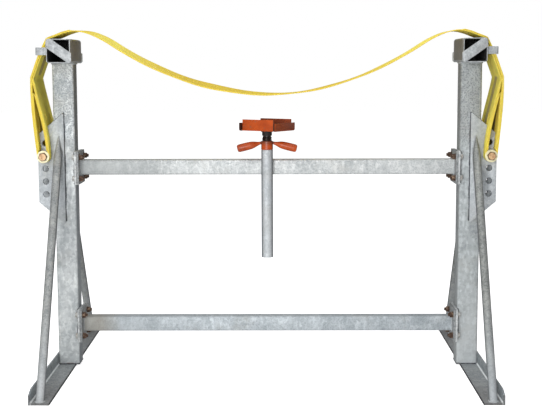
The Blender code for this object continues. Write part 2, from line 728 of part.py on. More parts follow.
def sling_points():
    """Middle of the sling's main ply, from its lowest point to the kink below the right head."""
    shoulder = (POST_X - SHOULDER_INSET, HEAD_TOP_HEIGHT - SHOULDER_DROP)
    sag = (shoulder[1] - SLING_LOW_HEIGHT) / shoulder[0] ** 2
    places = [shoulder[0] * step / 7 for step in range(8)]
    points = [(place, SLING_LOW_HEIGHT + sag * place ** 2) for place in places]
    corner = (HEAD_OUTER_X, HEAD_TOP_HEIGHT)
    kink = (POST_X + KINK_OUT, HEAD_TOP_HEIGHT - KINK_DROP)
    crest = (POST_X - CREST_INSET, HEAD_TOP_HEIGHT + CREST_RISE)
    points += [
        (shoulder[0] + 0.40 * (crest[0] - shoulder[0]), shoulder[1] + 0.60 * (crest[1] - shoulder[1])),
        (shoulder[0] + 0.70 * (crest[0] - shoulder[0]), shoulder[1] + 0.89 * (crest[1] - shoulder[1])),
        crest,
        (corner[0] - 0.073, corner[1] + 0.0275),
        (corner[0] - 0.038, corner[1] + 0.0140),
        (corner[0] - 0.003, corner[1] + 0.0008),
        (corner[0] + 0.0058, corner[1] - 0.0103),
        (corner[0] + 0.0183, corner[1] - 0.0350),
        (corner[0] + 0.0393, corner[1] - 0.0773),
        kink,
    ]
    return points


def outward(path, index):
    """Unit normal of a path at one point, pointing to the sling's upper, outer face."""
    before = Vector(path[max(index - 1, 0)])
    after = Vector(path[min(index + 1, len(path) - 1)])
    along = (after - before).normalized()
    return Vector((-along.y, along.x))


def sling_faces():
    """Upper and lower faces of the right half of the sling, from its middle to the kink."""
    path = smooth_path(sling_points(), SMOOTH_STEPS)
    lap_x = POST_X - LAP_END_INSET
    kink_height = path[-1][1]
    neck_height = HEAD_TOP_HEIGHT - KEEPER_DROP - KEEPER_HEIGHT
    upper = []
    lower = []
    lapped = False
    for index, place in enumerate(path):
        normal = outward(path, index)
        if place[0] > lap_x and not lapped:
            lapped = True
            step = Vector(place) + normal * SLING_PLY / 2
            upper.append(tuple(step))
        over = SLING_PLY / 2 + (SLING_LAP_PLY if lapped else 0)
        below = max(0.0, min(1.0, (neck_height - place[1]) / (neck_height - kink_height)))
        under = SLING_PLY / 2 + (NECK_THICKENING * below if place[0] > HEAD_OUTER_X else 0)
        upper.append(tuple(Vector(place) + normal * over))
        lower.append(tuple(Vector(place) - normal * under))
    return upper, lower


def make_sling_body():
    """The hanging band of webbing, with its sewn laps over the heads down to both kinks."""
    upper, lower = sling_faces()
    top = [(-x, z) for x, z in reversed(upper[1:])] + upper
    bottom = [(-x, z) for x, z in reversed(lower[1:])] + lower
    mesh = extruded("sling_body", [top + bottom[::-1]], SLING_WIDTH)
    smooth_round(mesh)
    add_object("sling_body", mesh, WEBBING, rotation=(math.pi / 2, 0, 0))


def make_sling_eye(side, label):
    """Eye of the sling: two legs from the kink round the strap bolt's sleeves, slit for the plates."""
    upper, lower = sling_faces()
    along = (Vector(upper[-1]) - Vector(upper[-2])).normalized()
    outer_top = Vector(upper[-1]) + along * GAP
    inner_top = Vector(lower[-1]) + along * GAP
    reach = (outer_top.y - BOLT_HEIGHT) / 3
    bolt = Vector((HOLE_X, BOLT_HEIGHT))
    outer_end = (bolt.x + EYE_OUTER_RADIUS, bolt.y)
    inner_end = (bolt.x - EYE_OUTER_RADIUS, bolt.y)
    outer = bezier(
        tuple(outer_top),
        (outer_top.x + 0.004, outer_top.y - reach),
        (outer_end[0] + 0.001, outer_end[1] + reach),
        outer_end,
        EYE_STEPS,
    )
    inner = bezier(
        tuple(inner_top),
        (inner_top.x - 0.033, inner_top.y - reach),
        (inner_end[0], inner_end[1] + reach),
        inner_end,
        EYE_STEPS,
    )
    outside = outer + arc(bolt, EYE_OUTER_RADIUS, 0, -180, EYE_ROUND_STEPS)[1:-1] + inner[::-1]
    hollow_outer = [(x - EYE_PLY, z) for x, z in outer]
    hollow_inner = [(x + EYE_PLY, z) for x, z in inner]
    open_pairs = [(a, b) for a, b in zip(hollow_outer, hollow_inner) if a[0] - b[0] > EYE_PLY / 3]
    hollow = [a for a, b in open_pairs]
    hollow += arc(bolt, EYE_INNER_RADIUS, 0, -180, EYE_ROUND_STEPS)[1:-1]
    hollow += [b for a, b in reversed(open_pairs)]
    name = "sling_eye_" + label
    mesh = extruded(name, [side_outline(side, outside), side_outline(side, hollow)], SLING_WIDTH)
    smooth_round(mesh)
    eye = add_object(name, mesh, WEBBING, rotation=(math.pi / 2, 0, 0))
    slope = (PLATE_INNER_HEIGHT - PLATE_OUTER_HEIGHT) / 2 / PLATE_WIDTH
    inner_edge_height = PLATE_CENTRE_HEIGHT + PLATE_INNER_HEIGHT / 2
    edge_height = inner_edge_height - slope * (HOLE_X - PLATE_INNER_X - EYE_OUTER_RADIUS)
    slots = []
    for end in (-1, 1):
        middle = end * (PLATE_FRONT_Y - PLATE_THICKNESS / 2)
        half = PLATE_THICKNESS / 2 + EYE_SLOT_CLEARANCE
        low = (HOLE_X - 0.1, middle - half, BOLT_HEIGHT - 2 * EYE_OUTER_RADIUS)
        high = (HOLE_X + 0.1, middle + half, edge_height + EYE_SLOT_RISE)
        slots.append((box_mesh("slot", low, high), Matrix.Identity(4)))
    cutter_mesh = joined(name + "_slots", slots)
    if side < 0:
        cutter_mesh.transform(Matrix.Translation((-2 * HOLE_X, 0, 0)))
    boolean(eye, add_object(name + "_slots", cutter_mesh))


def make_jack_tube():
    """Plain tube welded upright to the front of the upper beam."""
    bore = JACK_TUBE_DIAMETER - 2 * JACK_TUBE_WALL
    mesh = ring_mesh("jack_tube", JACK_TUBE_DIAMETER, bore, JACK_TUBE_LENGTH, ROUND_SIDES)
    add_object("jack_tube", mesh, GALVANISED, (0, JACK_Y, JACK_TUBE_TOP - JACK_TUBE_LENGTH / 2))


def make_jack_screw():
    """Threaded rod that slides in the tube, turned down at its top for the tray's collar."""
    radius = SCREW_DIAMETER / 2
    chamfer = radius / 8
    bottom = SHOULDER_HEIGHT - SCREW_LENGTH
    spigot = SPIGOT_DIAMETER / 2
    top = SHOULDER_HEIGHT + SPIGOT_LENGTH - GAP
    profile = [
        (0, top),
        (spigot - chamfer, top),
        (spigot, top - chamfer),
        (spigot, SHOULDER_HEIGHT),
        (radius, SHOULDER_HEIGHT),
        (radius, bottom + chamfer),
        (radius - chamfer, bottom),
        (0, bottom),
    ]
    mesh = turned("jack_screw", profile, ROUND_SIDES)
    pivot = bpy.data.objects.new("jack_axis", None)
    STAND.objects.link(pivot)
    pivot.location = (0, JACK_Y, 0)
    screw = add_object("jack_screw", mesh, SCREW_STEEL)
    screw.parent = pivot
    return pivot


def make_jack_nut(pivot):
    """Cast nut that rests on the tube, with two drooping club handles."""
    barrel_radius = NUT_DIAMETER / 2
    bore = SCREW_DIAMETER / 2 + SCREW_CLEARANCE
    chamfer = (barrel_radius - bore) / 3
    profile = [
        (bore, NUT_TOP_HEIGHT),
        (barrel_radius - chamfer, NUT_TOP_HEIGHT),
        (barrel_radius, NUT_TOP_HEIGHT - chamfer),
        (barrel_radius, NUT_BASE_HEIGHT + chamfer),
        (barrel_radius - chamfer, NUT_BASE_HEIGHT),
        (bore, NUT_BASE_HEIGHT),
    ]
    mesh = turned("jack_nut", profile, ROUND_SIDES)
    nut = add_object("jack_nut", mesh, ORANGE_PAINT)
    nut.parent = pivot
    root_x = bore + 0.4 * (barrel_radius - bore)
    half_span = HANDLE_SPAN / 2
    end_radius = HANDLE_END_DIAMETER / 2
    root_radius = HANDLE_ROOT_DIAMETER / 2
    length = math.hypot(half_span - root_x, HANDLE_DROOP)
    tilt = math.atan2(HANDLE_DROOP, half_span - root_x)
    swell = end_radius - root_radius
    shape = [(0, 0), (root_radius, 0)]
    shape += [(root_radius + share * swell, place * length) for place, share in HANDLE_SWELL]
    shape += [(end_radius * 0.93, 0.98 * length), (end_radius * 0.78, length), (0, length)]
    club = turned("handle", shape[::-1], HOLE_SIDES - 4, 50)
    for direction in (-1, 1):
        lean = Matrix.Rotation(direction * (math.pi / 2 + tilt), 4, "Y")
        root = Matrix.Translation((direction * root_x, 0, NUT_TOP_HEIGHT - HANDLE_ROOT_DROP))
        piece = club.copy()
        piece.transform(root @ lean)
        handle = add_object("handle_" + ("left" if direction < 0 else "right"), piece)
        handle.parent = pivot
        boolean(nut, handle, "UNION")


def make_jack_tray(pivot):
    """Plate head that takes the hull's cradle: two tall flanges, two low lips, a boss and a collar below."""
    half_length = TRAY_LENGTH / 2
    half_width = TRAY_WIDTH / 2
    spread = TRAY_LIP_SPREAD / 2
    base = TRAY_BASE_HEIGHT
    plate = TRAY_PLATE
    step = TRAY_WELD_STEP
    end = spread - plate / 2
    pieces = [box_mesh("tray_base", (-end, -half_width, base), (end, half_width, base + plate))]
    corner = half_length - half_width
    outline = [(half_length, TRAY_LIP_HEIGHT), (-half_length, TRAY_LIP_HEIGHT)]
    outline += arc((-half_length + corner, corner - step), corner, 180, 270, CORNER_STEPS)
    outline += arc((half_length - corner, corner - step), corner, 270, 360, CORNER_STEPS)
    upright = Matrix.Rotation(math.pi / 2, 4, "Z") @ Matrix.Rotation(math.pi / 2, 4, "X")
    for sign in (-1, 1):
        low_y = sign * (half_width - step) - (plate if sign > 0 else 0)
        low = (-half_length, low_y, base + plate / 2)
        pieces.append(box_mesh("tray_flange", low, (half_length, low_y + plate, base + TRAY_FLANGE_HEIGHT)))
        lip = extruded("tray_lip", [outline], plate)
        lip.transform(Matrix.Translation((sign * (spread - plate / 2), 0, base)) @ upright)
        pieces.append(lip)
    bore = SPIGOT_DIAMETER + 2 * SCREW_CLEARANCE
    collar = ring_mesh("tray_collar", bore + 2 * COLLAR_WALL, bore, SPIGOT_LENGTH + plate / 2, ROUND_SIDES)
    collar.transform(Matrix.Translation((0, 0, base - SPIGOT_LENGTH / 2 + plate / 4)))
    pieces.append(collar)
    boss_depth = BOSS_HEIGHT + plate / 3
    boss = ring_mesh("tray_boss", BOSS_DIAMETER, bore + COLLAR_WALL, boss_depth, ROUND_SIDES)
    boss.transform(Matrix.Translation((0, 0, base + plate / 3 - boss_depth / 2)))
    pieces.append(boss)
    mesh = union_mesh("jack_tray", pieces)
    smooth_round(mesh)
    tray = add_object("jack_tray", mesh, ORANGE_PAINT, rotation=(0, 0, TRAY_TURN))
    tray.parent = pivot


clear_scene()
STAND = new_collection("catamaran_stern_stand")
CUTTERS = new_collection("cutters")
GALVANISED = new_material("galvanised_steel", (0.56, 0.60, 0.62), 0.48, 0.75)
YELLOW_ZINC = new_material("yellow_zinc", (0.74, 0.62, 0.33), 0.35, 0.9)
ORANGE_PAINT = new_material("orange_paint", (0.60, 0.13, 0.04), 0.45, 0.0)
SCREW_STEEL = new_material("greased_screw", (0.06, 0.06, 0.06), 0.4, 0.8)
WEBBING = new_material("yellow_webbing", (0.72, 0.52, 0.05), 0.85, 0.0)

for SIDE, LABEL in ((-1, "left"), (1, "right")):
    make_foot(SIDE, LABEL)
    make_post(SIDE, LABEL)
    make_head(SIDE, LABEL)
    make_keeper(SIDE, LABEL)
    make_strap_plates(SIDE, LABEL)
    make_brace(SIDE, LABEL, -1, "front")
    make_brace(SIDE, LABEL, 1, "rear")
    make_joint(SIDE, LABEL, "upper", UPPER_BEAM_HEIGHT)
    make_joint(SIDE, LABEL, "lower", LOWER_BEAM_HEIGHT)
    make_strap_bolt(SIDE, LABEL)
    make_sling_eye(SIDE, LABEL)
make_beam("upper", UPPER_BEAM_HEIGHT)
make_beam("lower", LOWER_BEAM_HEIGHT)
make_sling_body()
make_jack_tube()
JACK_AXIS = make_jack_screw()
make_jack_nut(JACK_AXIS)
make_jack_tray(JACK_AXIS)
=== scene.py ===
"""Catamaran stern stand: galvanised trestle, webbing sling and orange screw jack."""
import math

import bmesh
import bpy
from mathutils import Matrix, Vector


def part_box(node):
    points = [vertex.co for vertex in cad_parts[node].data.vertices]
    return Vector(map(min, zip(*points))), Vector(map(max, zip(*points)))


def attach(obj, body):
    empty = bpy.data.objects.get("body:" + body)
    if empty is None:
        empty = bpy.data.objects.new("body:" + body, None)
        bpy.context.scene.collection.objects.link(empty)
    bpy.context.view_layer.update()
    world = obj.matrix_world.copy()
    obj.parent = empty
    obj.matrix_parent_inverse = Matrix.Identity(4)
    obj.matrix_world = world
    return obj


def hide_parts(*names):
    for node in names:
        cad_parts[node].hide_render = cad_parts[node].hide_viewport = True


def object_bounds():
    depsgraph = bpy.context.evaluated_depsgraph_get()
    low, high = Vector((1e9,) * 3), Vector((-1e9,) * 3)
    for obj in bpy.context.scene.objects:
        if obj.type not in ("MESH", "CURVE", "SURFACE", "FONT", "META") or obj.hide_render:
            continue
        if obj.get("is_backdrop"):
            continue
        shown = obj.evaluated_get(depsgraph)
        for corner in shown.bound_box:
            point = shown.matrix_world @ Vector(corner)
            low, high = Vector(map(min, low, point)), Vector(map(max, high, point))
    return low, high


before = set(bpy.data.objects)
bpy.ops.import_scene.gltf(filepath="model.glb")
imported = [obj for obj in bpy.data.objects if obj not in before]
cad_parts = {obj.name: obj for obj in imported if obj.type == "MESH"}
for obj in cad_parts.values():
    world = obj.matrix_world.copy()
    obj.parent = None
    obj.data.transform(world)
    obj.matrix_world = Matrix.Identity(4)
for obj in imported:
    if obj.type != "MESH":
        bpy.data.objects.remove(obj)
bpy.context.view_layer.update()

# Camera and daylight
# The photograph is taken from 5.6 m in front, a little right of the middle, at head height.
# Broad soft light from in front leaves the inner sides and undersides darker; some also carry painted shade.
CAMERA_PLACE = Vector((0.0563, -5.6008, 1.4251))
CAMERA_PITCH = 0.1204
CAMERA_YAW = 0.0070
CAMERA_ROLL = -0.0027
CAMERA_LENS = 79.04
FLOOR_SIZE = 30
WHITE = (1, 1, 1, 1)

scene = bpy.context.scene
scene.view_settings.view_transform = "Standard"
level = Vector((-math.sin(CAMERA_YAW), math.cos(CAMERA_YAW), 0))
side = Vector((math.cos(CAMERA_YAW), math.sin(CAMERA_YAW), 0))
forward = math.cos(CAMERA_PITCH) * level - math.sin(CAMERA_PITCH) * Vector((0, 0, 1))
above = math.sin(CAMERA_PITCH) * level + math.cos(CAMERA_PITCH) * Vector((0, 0, 1))
right = math.cos(CAMERA_ROLL) * side + math.sin(CAMERA_ROLL) * above
above = math.cos(CAMERA_ROLL) * above - math.sin(CAMERA_ROLL) * side
camera = bpy.data.objects.new("view_camera", bpy.data.cameras.new("view_camera"))
scene.collection.objects.link(camera)
camera.data.sensor_width = 36
camera.data.sensor_fit = "HORIZONTAL"
camera.data.lens = CAMERA_LENS
gaze = Matrix((right, above, -forward)).transposed().to_4x4()
camera.matrix_world = Matrix.Translation(CAMERA_PLACE) @ gaze
scene.camera = camera


def add_lamp(name, place, target, size, power):
    """Soft square lamp aimed at a point."""
    lamp = bpy.data.objects.new(name, bpy.data.lights.new(name, "AREA"))
    lamp.data.size = size
    lamp.data.energy = power
    lamp.location = place
    lamp.rotation_euler = (Vector(target) - Vector(place)).to_track_quat("-Z", "Y").to_euler()
    lamp.visible_camera = False
    scene.collection.objects.link(lamp)


def feed(node, inputs):
    """Gives a node its inputs, each a plain value or a socket to link."""
    for label, value in inputs.items():
        if isinstance(value, bpy.types.NodeSocket):
            node.id_data.links.new(value, node.inputs[label])
        else:
            node.inputs[label].default_value = value
    return node


def add_node(kind, inputs, **settings):
    """Node with its settings and inputs, in the tree that its linked inputs come from."""
    tree = next(value.id_data for value in inputs.values() if isinstance(value, bpy.types.NodeSocket))
    node = tree.nodes.new(kind)
    for label, value in settings.items():
        setattr(node, label, value)
    return feed(node, inputs)


def math_node(operation, *values):
    """Result of a Math node on sockets or numbers."""
    return add_node("ShaderNodeMath", dict(enumerate(values)), operation=operation).outputs[0]


def times(first, second):
    """Product of two sockets or numbers."""
    return math_node("MULTIPLY", first, second)


def plus(first, second):
    """Sum of two sockets or numbers."""
    return math_node("ADD", first, second)


def minus(first, second):
    """Difference of two sockets or numbers."""
    return math_node("SUBTRACT", first, second)


def ranged(value, low, high, to_low=0.0, to_high=1.0):
    """Clamped map of one range to another."""
    inputs = {"Value": value, "From Min": low, "From Max": high, "To Min": to_low, "To Max": to_high}
    return add_node("ShaderNodeMapRange", inputs).outputs[0]


def new_material(name):
    """Material with its Principled shader and an Object coordinate to work from."""
    made = bpy.data.materials.new(name)
    made.use_nodes = True
    nodes = made.node_tree.nodes
    return made, nodes["Principled BSDF"], nodes.new("ShaderNodeTexCoord").outputs["Object"]


def smooth_by_angle(mesh, degrees):
    """Smooth shading with hard edges kept."""
    mesh.shade_smooth()
    mesh.set_sharp_from_angle(angle=math.radians(degrees))


def mesh_of(work, name, degrees=0):
    """Mesh from a bmesh, shaded smooth up to an angle where one is given."""
    mesh = bpy.data.meshes.new(name)
    work.to_mesh(mesh)
    work.free()
    if degrees:
        smooth_by_angle(mesh, degrees)
    return mesh


add_lamp("key_lamp", (-1.9, -7.2, 2.1), (0, 0, 0.8), 3.4, 300)
add_lamp("low_lamp", (-0.6, -6.6, 0.6), (0, 0, 0.3), 2.4, 90)
add_lamp("sky_lamp", (0, -0.2, 4.6), (0, 0, 0), 5.0, 140)
world = bpy.data.worlds.new("pale_studio")
scene.world = world
world.use_nodes = True
rays = world.node_tree.nodes.new("ShaderNodeLightPath").outputs
shown = math_node("MAXIMUM", rays["Is Camera Ray"], rays["Is Transmission Ray"])
mirrored = ranged(rays["Is Glossy Ray"], 0, 1, 0.13, 0.38)
feed(world.node_tree.nodes["Background"], {"Color": WHITE, "Strength": math_node("MAXIMUM", shown, mirrored)})

work = bmesh.new()
bmesh.ops.create_grid(work, x_segments=1, y_segments=1, size=FLOOR_SIZE)
floor = bpy.data.objects.new("floor", mesh_of(work, "floor"))
scene.collection.objects.link(floor)
floor_paint, shader, vector = new_material("pale_floor")
rays = floor_paint.node_tree.nodes.new("ShaderNodeLightPath").outputs
distance = add_node("ShaderNodeVectorMath", {0: vector}, operation="LENGTH").outputs["Value"]
glow = ranged(distance, 1.2, 3.5, 0.80, 1.0)
feed(shader, {
    "Base Color": (0.94, 0.94, 0.94, 1), "Roughness": 1.0, "Specular IOR Level": 0.0,
    "Emission Color": WHITE, "Emission Strength": times(glow, rays["Is Camera Ray"]),
})
floor.data.materials.append(floor_paint)
floor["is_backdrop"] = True

# Posts, ground angles and head tubes
# Hot-dip galvanised square tube and rolled angle, sawn to length and welded.
# Dipping leaves a dull spangle, pale runs down the faces and thicker zinc at the edges.
EDGE_RADIUS = 0.0012
TUBE_CORNER = 0.0055
ANGLE_LEG = 0.008
HEAD_WALL = 0.0042
CAP_INSET = 0.005
CAP_THICKNESS = 0.004
SPANGLE_PER_METRE = 85.0
SETTLED_DIRT = (0.36, 0.35, 0.32)
RUST_BROWN = (0.26, 0.12, 0.05)
HOLE_SHADE = (0.09, 0.10, 0.115)
FLANK_SHADE = (0.13, 0.14, 0.15)
SIDES = (("left", -1), ("right", 1))
ENDS = (("front", -1), ("rear", 1))


def new_group(kind, name, takes, gives):
    """Empty Shader or Geometry node group with named sockets: the group, what it is given, its result."""
    group = bpy.data.node_groups.new(name, kind + "NodeTree")
    for in_out, sockets in (("INPUT", takes), ("OUTPUT", gives)):
        for label, socket in sockets.items():
            group.interface.new_socket(label, in_out=in_out, socket_type="NodeSocket" + socket)
    return group, group.nodes.new("NodeGroupInput").outputs, group.nodes.new("NodeGroupOutput")


def noise_node(vector, scale, detail=3.0, stretch=None):
    """Noise on a vector that may be stretched first."""
    if stretch:
        vector = add_node("ShaderNodeMapping", {"Vector": vector, "Scale": stretch}).outputs[0]
    return add_node("ShaderNodeTexNoise", {"Vector": vector, "Scale": scale, "Detail": detail}).outputs["Fac"]


def mixed(factor, first, second):
    """Mix of two colours, each a socket or plain red, green and blue."""
    first, second = ((*value, 1) if isinstance(value, tuple) else value for value in (first, second))
    return add_node("ShaderNodeMix", {0: factor, 6: first, 7: second}, data_type="RGBA").outputs[2]


def axes_of(vector):
    """X, Y and Z of a vector."""
    return add_node("ShaderNodeSeparateXYZ", {0: vector}).outputs


def window(vector, limits):
    """Mask of ramps along the axes: each limit has an axis, where the mask is nought and where it is full."""
    axes = axes_of(vector)
    mask = None
    for axis, nought, full in limits:
        value = axes[axis.strip("|")]
        if axis.startswith("|"):
            value = math_node("ABSOLUTE", value)
        ramp = ranged(value, nought, full)
        mask = ramp if mask is None else times(mask, ramp)
    return mask


def zoned(colour, vector, zones):
    """Colour with windows of other colours over it, each zone a window, a strength and a colour."""
    for limits, strength, tint in zones:
        colour = mixed(times(window(vector, limits), strength), colour, tint)
    return colour


def axis_distance(vector, x, z, pitch=0.0):
    """Distance from a front-to-back axis on either side, or from the nearest of five in a column about it."""
    axes = axes_of(vector)
    aside = minus(math_node("ABSOLUTE", axes["X"]), x)
    rise = minus(axes["Z"], z)
    if pitch:
        beyond = minus(math_node("ABSOLUTE", rise), 2 * pitch)
        rise = math_node("MAXIMUM", math_node("PINGPONG", rise, pitch / 2), beyond)
    return math_node("SQRT", plus(math_node("POWER", aside, 2), math_node("POWER", rise, 2)))


def spangle_group():
    """Crystals, clouds and pits of a zinc coat: one shade for colour, one height for relief."""
    takes = {"Vector": "Vector", "Scale": "Float", "Pits": "Float", "Blotches": "Float"}
    group, given, result = new_group("Shader", "zinc_spangle", takes, {"Shade": "Float", "Height": "Float"})
    vector = given["Vector"]
    wobble = add_node("ShaderNodeTexNoise", {"Vector": vector, "Scale": 40}).outputs["Color"]
    shift = {0: wobble, 1: (0.02, 0.02, 0.02), 2: vector}
    shifted = add_node("ShaderNodeVectorMath", shift, operation="MULTIPLY_ADD").outputs[0]
    cells = add_node("ShaderNodeTexVoronoi", {"Vector": shifted, "Scale": given["Scale"]}).outputs
    crystals = times(add_node("ShaderNodeSeparateColor", {0: cells["Color"]}).outputs[0], 0.34)
    clouds = times(ranged(noise_node(vector, 9.0, 4.0), 0.30, 0.70), 0.40)
    runs = times(ranged(noise_node(vector, 14.0, 3.0, (1.0, 1.0, 0.16)), 0.35, 0.65), 0.26)
    pits = times(ranged(noise_node(vector, 140.0, 2.0), 0.50, 0.60), given["Pits"])
    blotches = times(ranged(noise_node(vector, 55.0, 3.0, (1.0, 1.0, 0.45)), 0.52, 0.66), given["Blotches"])
    shade = plus(minus(plus(plus(crystals, clouds), runs), pits), blotches)
    height = plus(times(cells["Distance"], 0.5), noise_node(vector, 260.0, 2.0))
    feed(result, {"Shade": shade, "Height": height})
    return group


def grime_group():
    """Soft patches where dirt or rust gathers: more of it as Amount rises."""
    takes = {"Vector": "Vector", "Scale": "Float", "Amount": "Float"}
    group, given, result = new_group("Shader", "grime", takes, {"Mask": "Float"})
    inputs = {"Vector": given["Vector"], "Scale": given["Scale"], "Detail": 6.0, "Roughness": 0.65}
    patches = add_node("ShaderNodeTexNoise", inputs).outputs["Fac"]
    threshold = minus(0.80, times(given["Amount"], 0.5))
    feed(result, {"Mask": ranged(minus(patches, threshold), -0.06, 0.10)})
    return group


SPANGLE = spangle_group()
GRIME = grime_group()


def placed_group(group, vector, **values):
    """Outputs of one use of a shared group with its own values."""
    return add_node("ShaderNodeGroup", {"Vector": vector, **values}, node_tree=group).outputs


def relief(height, strength, distance):
    """Normal from a height."""
    inputs = {"Strength": strength, "Distance": distance, "Height": height}
    return add_node("ShaderNodeBump", inputs).outputs[0]


def galvanised(name, light, dark, rust=0.0, scale=SPANGLE_PER_METRE, pits=0.2, blotches=0.2,
               pitted=(), zones=(), flanks=0.0, holes=()):
    """Dull hot-dip zinc, with brown stains where rust is above zero.

    Pitted is a window where the pits are at their full depth, and each zone is a window with a colour;
    several zones are painted shade, and one is a painted highlight.
    Flanks is how dark the painted shade on a round tube's two sides is, where its mesh has the flank
    attribute.
    Holes are the middle (x, z), the pitch and the radius of a column of drilled holes, dark at their rims.
    """
    made, shader, vector = new_material(name)
    depth = times(window(vector, pitted), pits) if pitted else pits
    spangle = placed_group(SPANGLE, vector, Scale=scale, Pits=depth, Blotches=blotches)
    dirt = placed_group(GRIME, vector, Scale=7.0, Amount=0.42)["Mask"]
    colour = mixed(times(dirt, 0.35), mixed(spangle["Shade"], dark, light), SETTLED_DIRT)
    colour = zoned(colour, vector, zones)
    if holes:
        *column, radius = holes
        rim = ranged(axis_distance(vector, *column), radius + 0.0030, radius + 0.0006, 0.0, 0.80)
        colour = mixed(rim, colour, HOLE_SHADE)
    if flanks:
        flank = made.node_tree.nodes.new("ShaderNodeAttribute")
        flank.attribute_name = "flank"
        colour = mixed(ranged(flank.outputs["Fac"], 0.76, 0.95, 0.0, flanks), colour, FLANK_SHADE)
    if rust:
        colour = mixed(placed_group(GRIME, vector, Scale=45.0, Amount=rust)["Mask"], colour, RUST_BROWN)
    feed(shader, {
        "Base Color": colour, "Roughness": ranged(spangle["Shade"], 0.2, 0.9, 0.74, 0.54), "Metallic": 0.30,
        "Normal": relief(spangle["Height"], 0.25, 0.0008),
    })
    return made


def finished(source, modifiers, inputs=()):
    """Plain mesh of a mesh or curve with modifiers applied; inputs are those of a Geometry Nodes tree."""
    holder = bpy.data.objects.new("holder", source)
    scene.collection.objects.link(holder)
    for kind, values in modifiers:
        modifier = holder.modifiers.new(kind.lower(), kind)
        for label, value in values.items():
            setattr(modifier, label, value)
        for identifier, value in inputs:
            modifier[identifier] = value
    bpy.context.view_layer.update()
    result = bpy.data.meshes.new_from_object(holder.evaluated_get(bpy.context.evaluated_depsgraph_get()))
    bpy.data.objects.remove(holder, do_unlink=True)
    return result


def add_piece(name, mesh, material, nodes=(), body="frame"):
    """Shown piece that rides on a body and stands for the given nodes."""
    mesh.name = name
    mesh.materials.clear()
    mesh.materials.append(material)
    made = bpy.data.objects.new(name, mesh)
    scene.collection.objects.link(made)
    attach(made, body)
    if nodes:
        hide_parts(*nodes)
    return made


def ends_of(box, axis, sign):
    """Near and far ends of a box along an axis, as seen from the middle of the stand."""
    low, high = box[0][axis], box[1][axis]
    return (low, high) if sign > 0 else (high, low)


def eased_box(low, high, ease, degrees):
    """Box between two corners with rounded edges."""
    low, high = Vector(low), Vector(high)
    work = bmesh.new()
    place = Matrix.Translation((low + high) / 2) @ Matrix.Diagonal((*(high - low), 1))
    bmesh.ops.create_cube(work, size=1, matrix=place)
    bmesh.ops.bevel(work, geom=list(work.edges), offset=ease, segments=2, affect="EDGES", profile=0.5)
    return mesh_of(work, "box", degrees)


def eased_copy(node, radius=EDGE_RADIUS, corner=0.0):
    """A node's own shape, merged, with its sharp edges eased and a tube's long corners rolled."""
    work = bmesh.new()
    work.from_mesh(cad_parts[node].data)
    bmesh.ops.remove_doubles(work, verts=work.verts, dist=0.00002)
    bmesh.ops.dissolve_limit(work, angle_limit=math.radians(1.5), verts=work.verts, edges=work.edges)
    if corner:
        low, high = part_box(node)
        run = max(range(3), key=lambda axis: high[axis] - low[axis])
        flanks = [axis for axis in range(3) if axis != run]
        rolled = []
        for edge in work.edges:
            along = edge.verts[1].co - edge.verts[0].co
            middle = (edge.verts[1].co + edge.verts[0].co) / 2
            outer = all(min(middle[axis] - low[axis], high[axis] - middle[axis]) < 0.0003 for axis in flanks)
            if outer and abs(along[run]) > 0.9 * along.length:
                rolled.append(edge)
        bmesh.ops.bevel(work, geom=rolled, offset=corner, segments=4, profile=0.5, affect="EDGES")
    bevel = {"width": radius, "segments": 2, "limit_method": "ANGLE", "angle_limit": math.radians(40)}
    mesh = finished(mesh_of(work, node), [("BEVEL", bevel)])
    smooth_by_angle(mesh, 30)
    return mesh


post_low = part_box("post_right")[0]
head_low, head_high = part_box("head_tube_right")
foot_low, foot_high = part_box("foot_angle_right")
root_x = foot_high.x - ANGLE_LEG
# Painted shade: the posts' inner sides are coloured darker, and on the left post darker still higher up.
INNER_SIDE_SHADE = (("|X|", post_low.x + 0.0014, post_low.x + 0.0003),)
SHADED_SIDE = INNER_SIDE_SHADE + (("Z", 0.70, 1.25),)
FOOT_RUST = (("Z", 0.018, 0.013), ("X", -0.965, -0.955), ("X", -0.922, -0.932))
UPPER_POST = (("Z", 0.95, 1.18),)
LOWER_POST = (("Z", 0.45, 0.10),)
# Painted shade: the head tubes' inner sides are coloured darker, and their bore walls near black.
HEAD_SIDE_SHADE = (("|X|", head_low.x + 0.0014, head_low.x + 0.0003),)
HEAD_BORE_SHADE = tuple(
    (axis, edge + inward * (HEAD_WALL - 0.001), edge + inward * HEAD_WALL)
    for axis, edge, inward in (
        ("|X|", head_low.x, 1), ("|X|", head_high.x, -1), ("Z", head_low.z, 1), ("Z", head_high.z, -1),
    )
)
FLAT_LEG = (("Z", ANGLE_LEG + 0.0012, ANGLE_LEG + 0.0004),)
# Painted highlight: a pale line along each ground angle's rolled root.
ROOT_HIGHLIGHT = (
    ("|X|", root_x - 0.0052, root_x - 0.0042), ("|X|", root_x + 0.0016, root_x + 0.0006),
    ("Z", ANGLE_LEG + 0.0076, ANGLE_LEG + 0.0066),
)
POST_ZINC = {
    "left": galvanised(
        "galvanised_post_left", (0.72, 0.75, 0.75), (0.33, 0.36, 0.38), pits=0.95, blotches=0.40,
        pitted=UPPER_POST,
        zones=[
            (INNER_SIDE_SHADE, 0.70, (0.18, 0.205, 0.23)), (SHADED_SIDE, 0.65, (0.14, 0.145, 0.14)),
            (FOOT_RUST, 0.70, (0.24, 0.11, 0.045)),
        ],
    ),
    "right": galvanised(
        "galvanised_post_right", (0.54, 0.58, 0.59), (0.24, 0.26, 0.27), 0.04, pits=0.80, blotches=0.40,
        pitted=UPPER_POST,
        zones=[
            (UPPER_POST, 0.40, (0.26, 0.27, 0.27)), (LOWER_POST, 0.5, (0.66, 0.69, 0.70)),
            (INNER_SIDE_SHADE, 0.50, (0.21, 0.225, 0.23)),
        ],
    ),
}
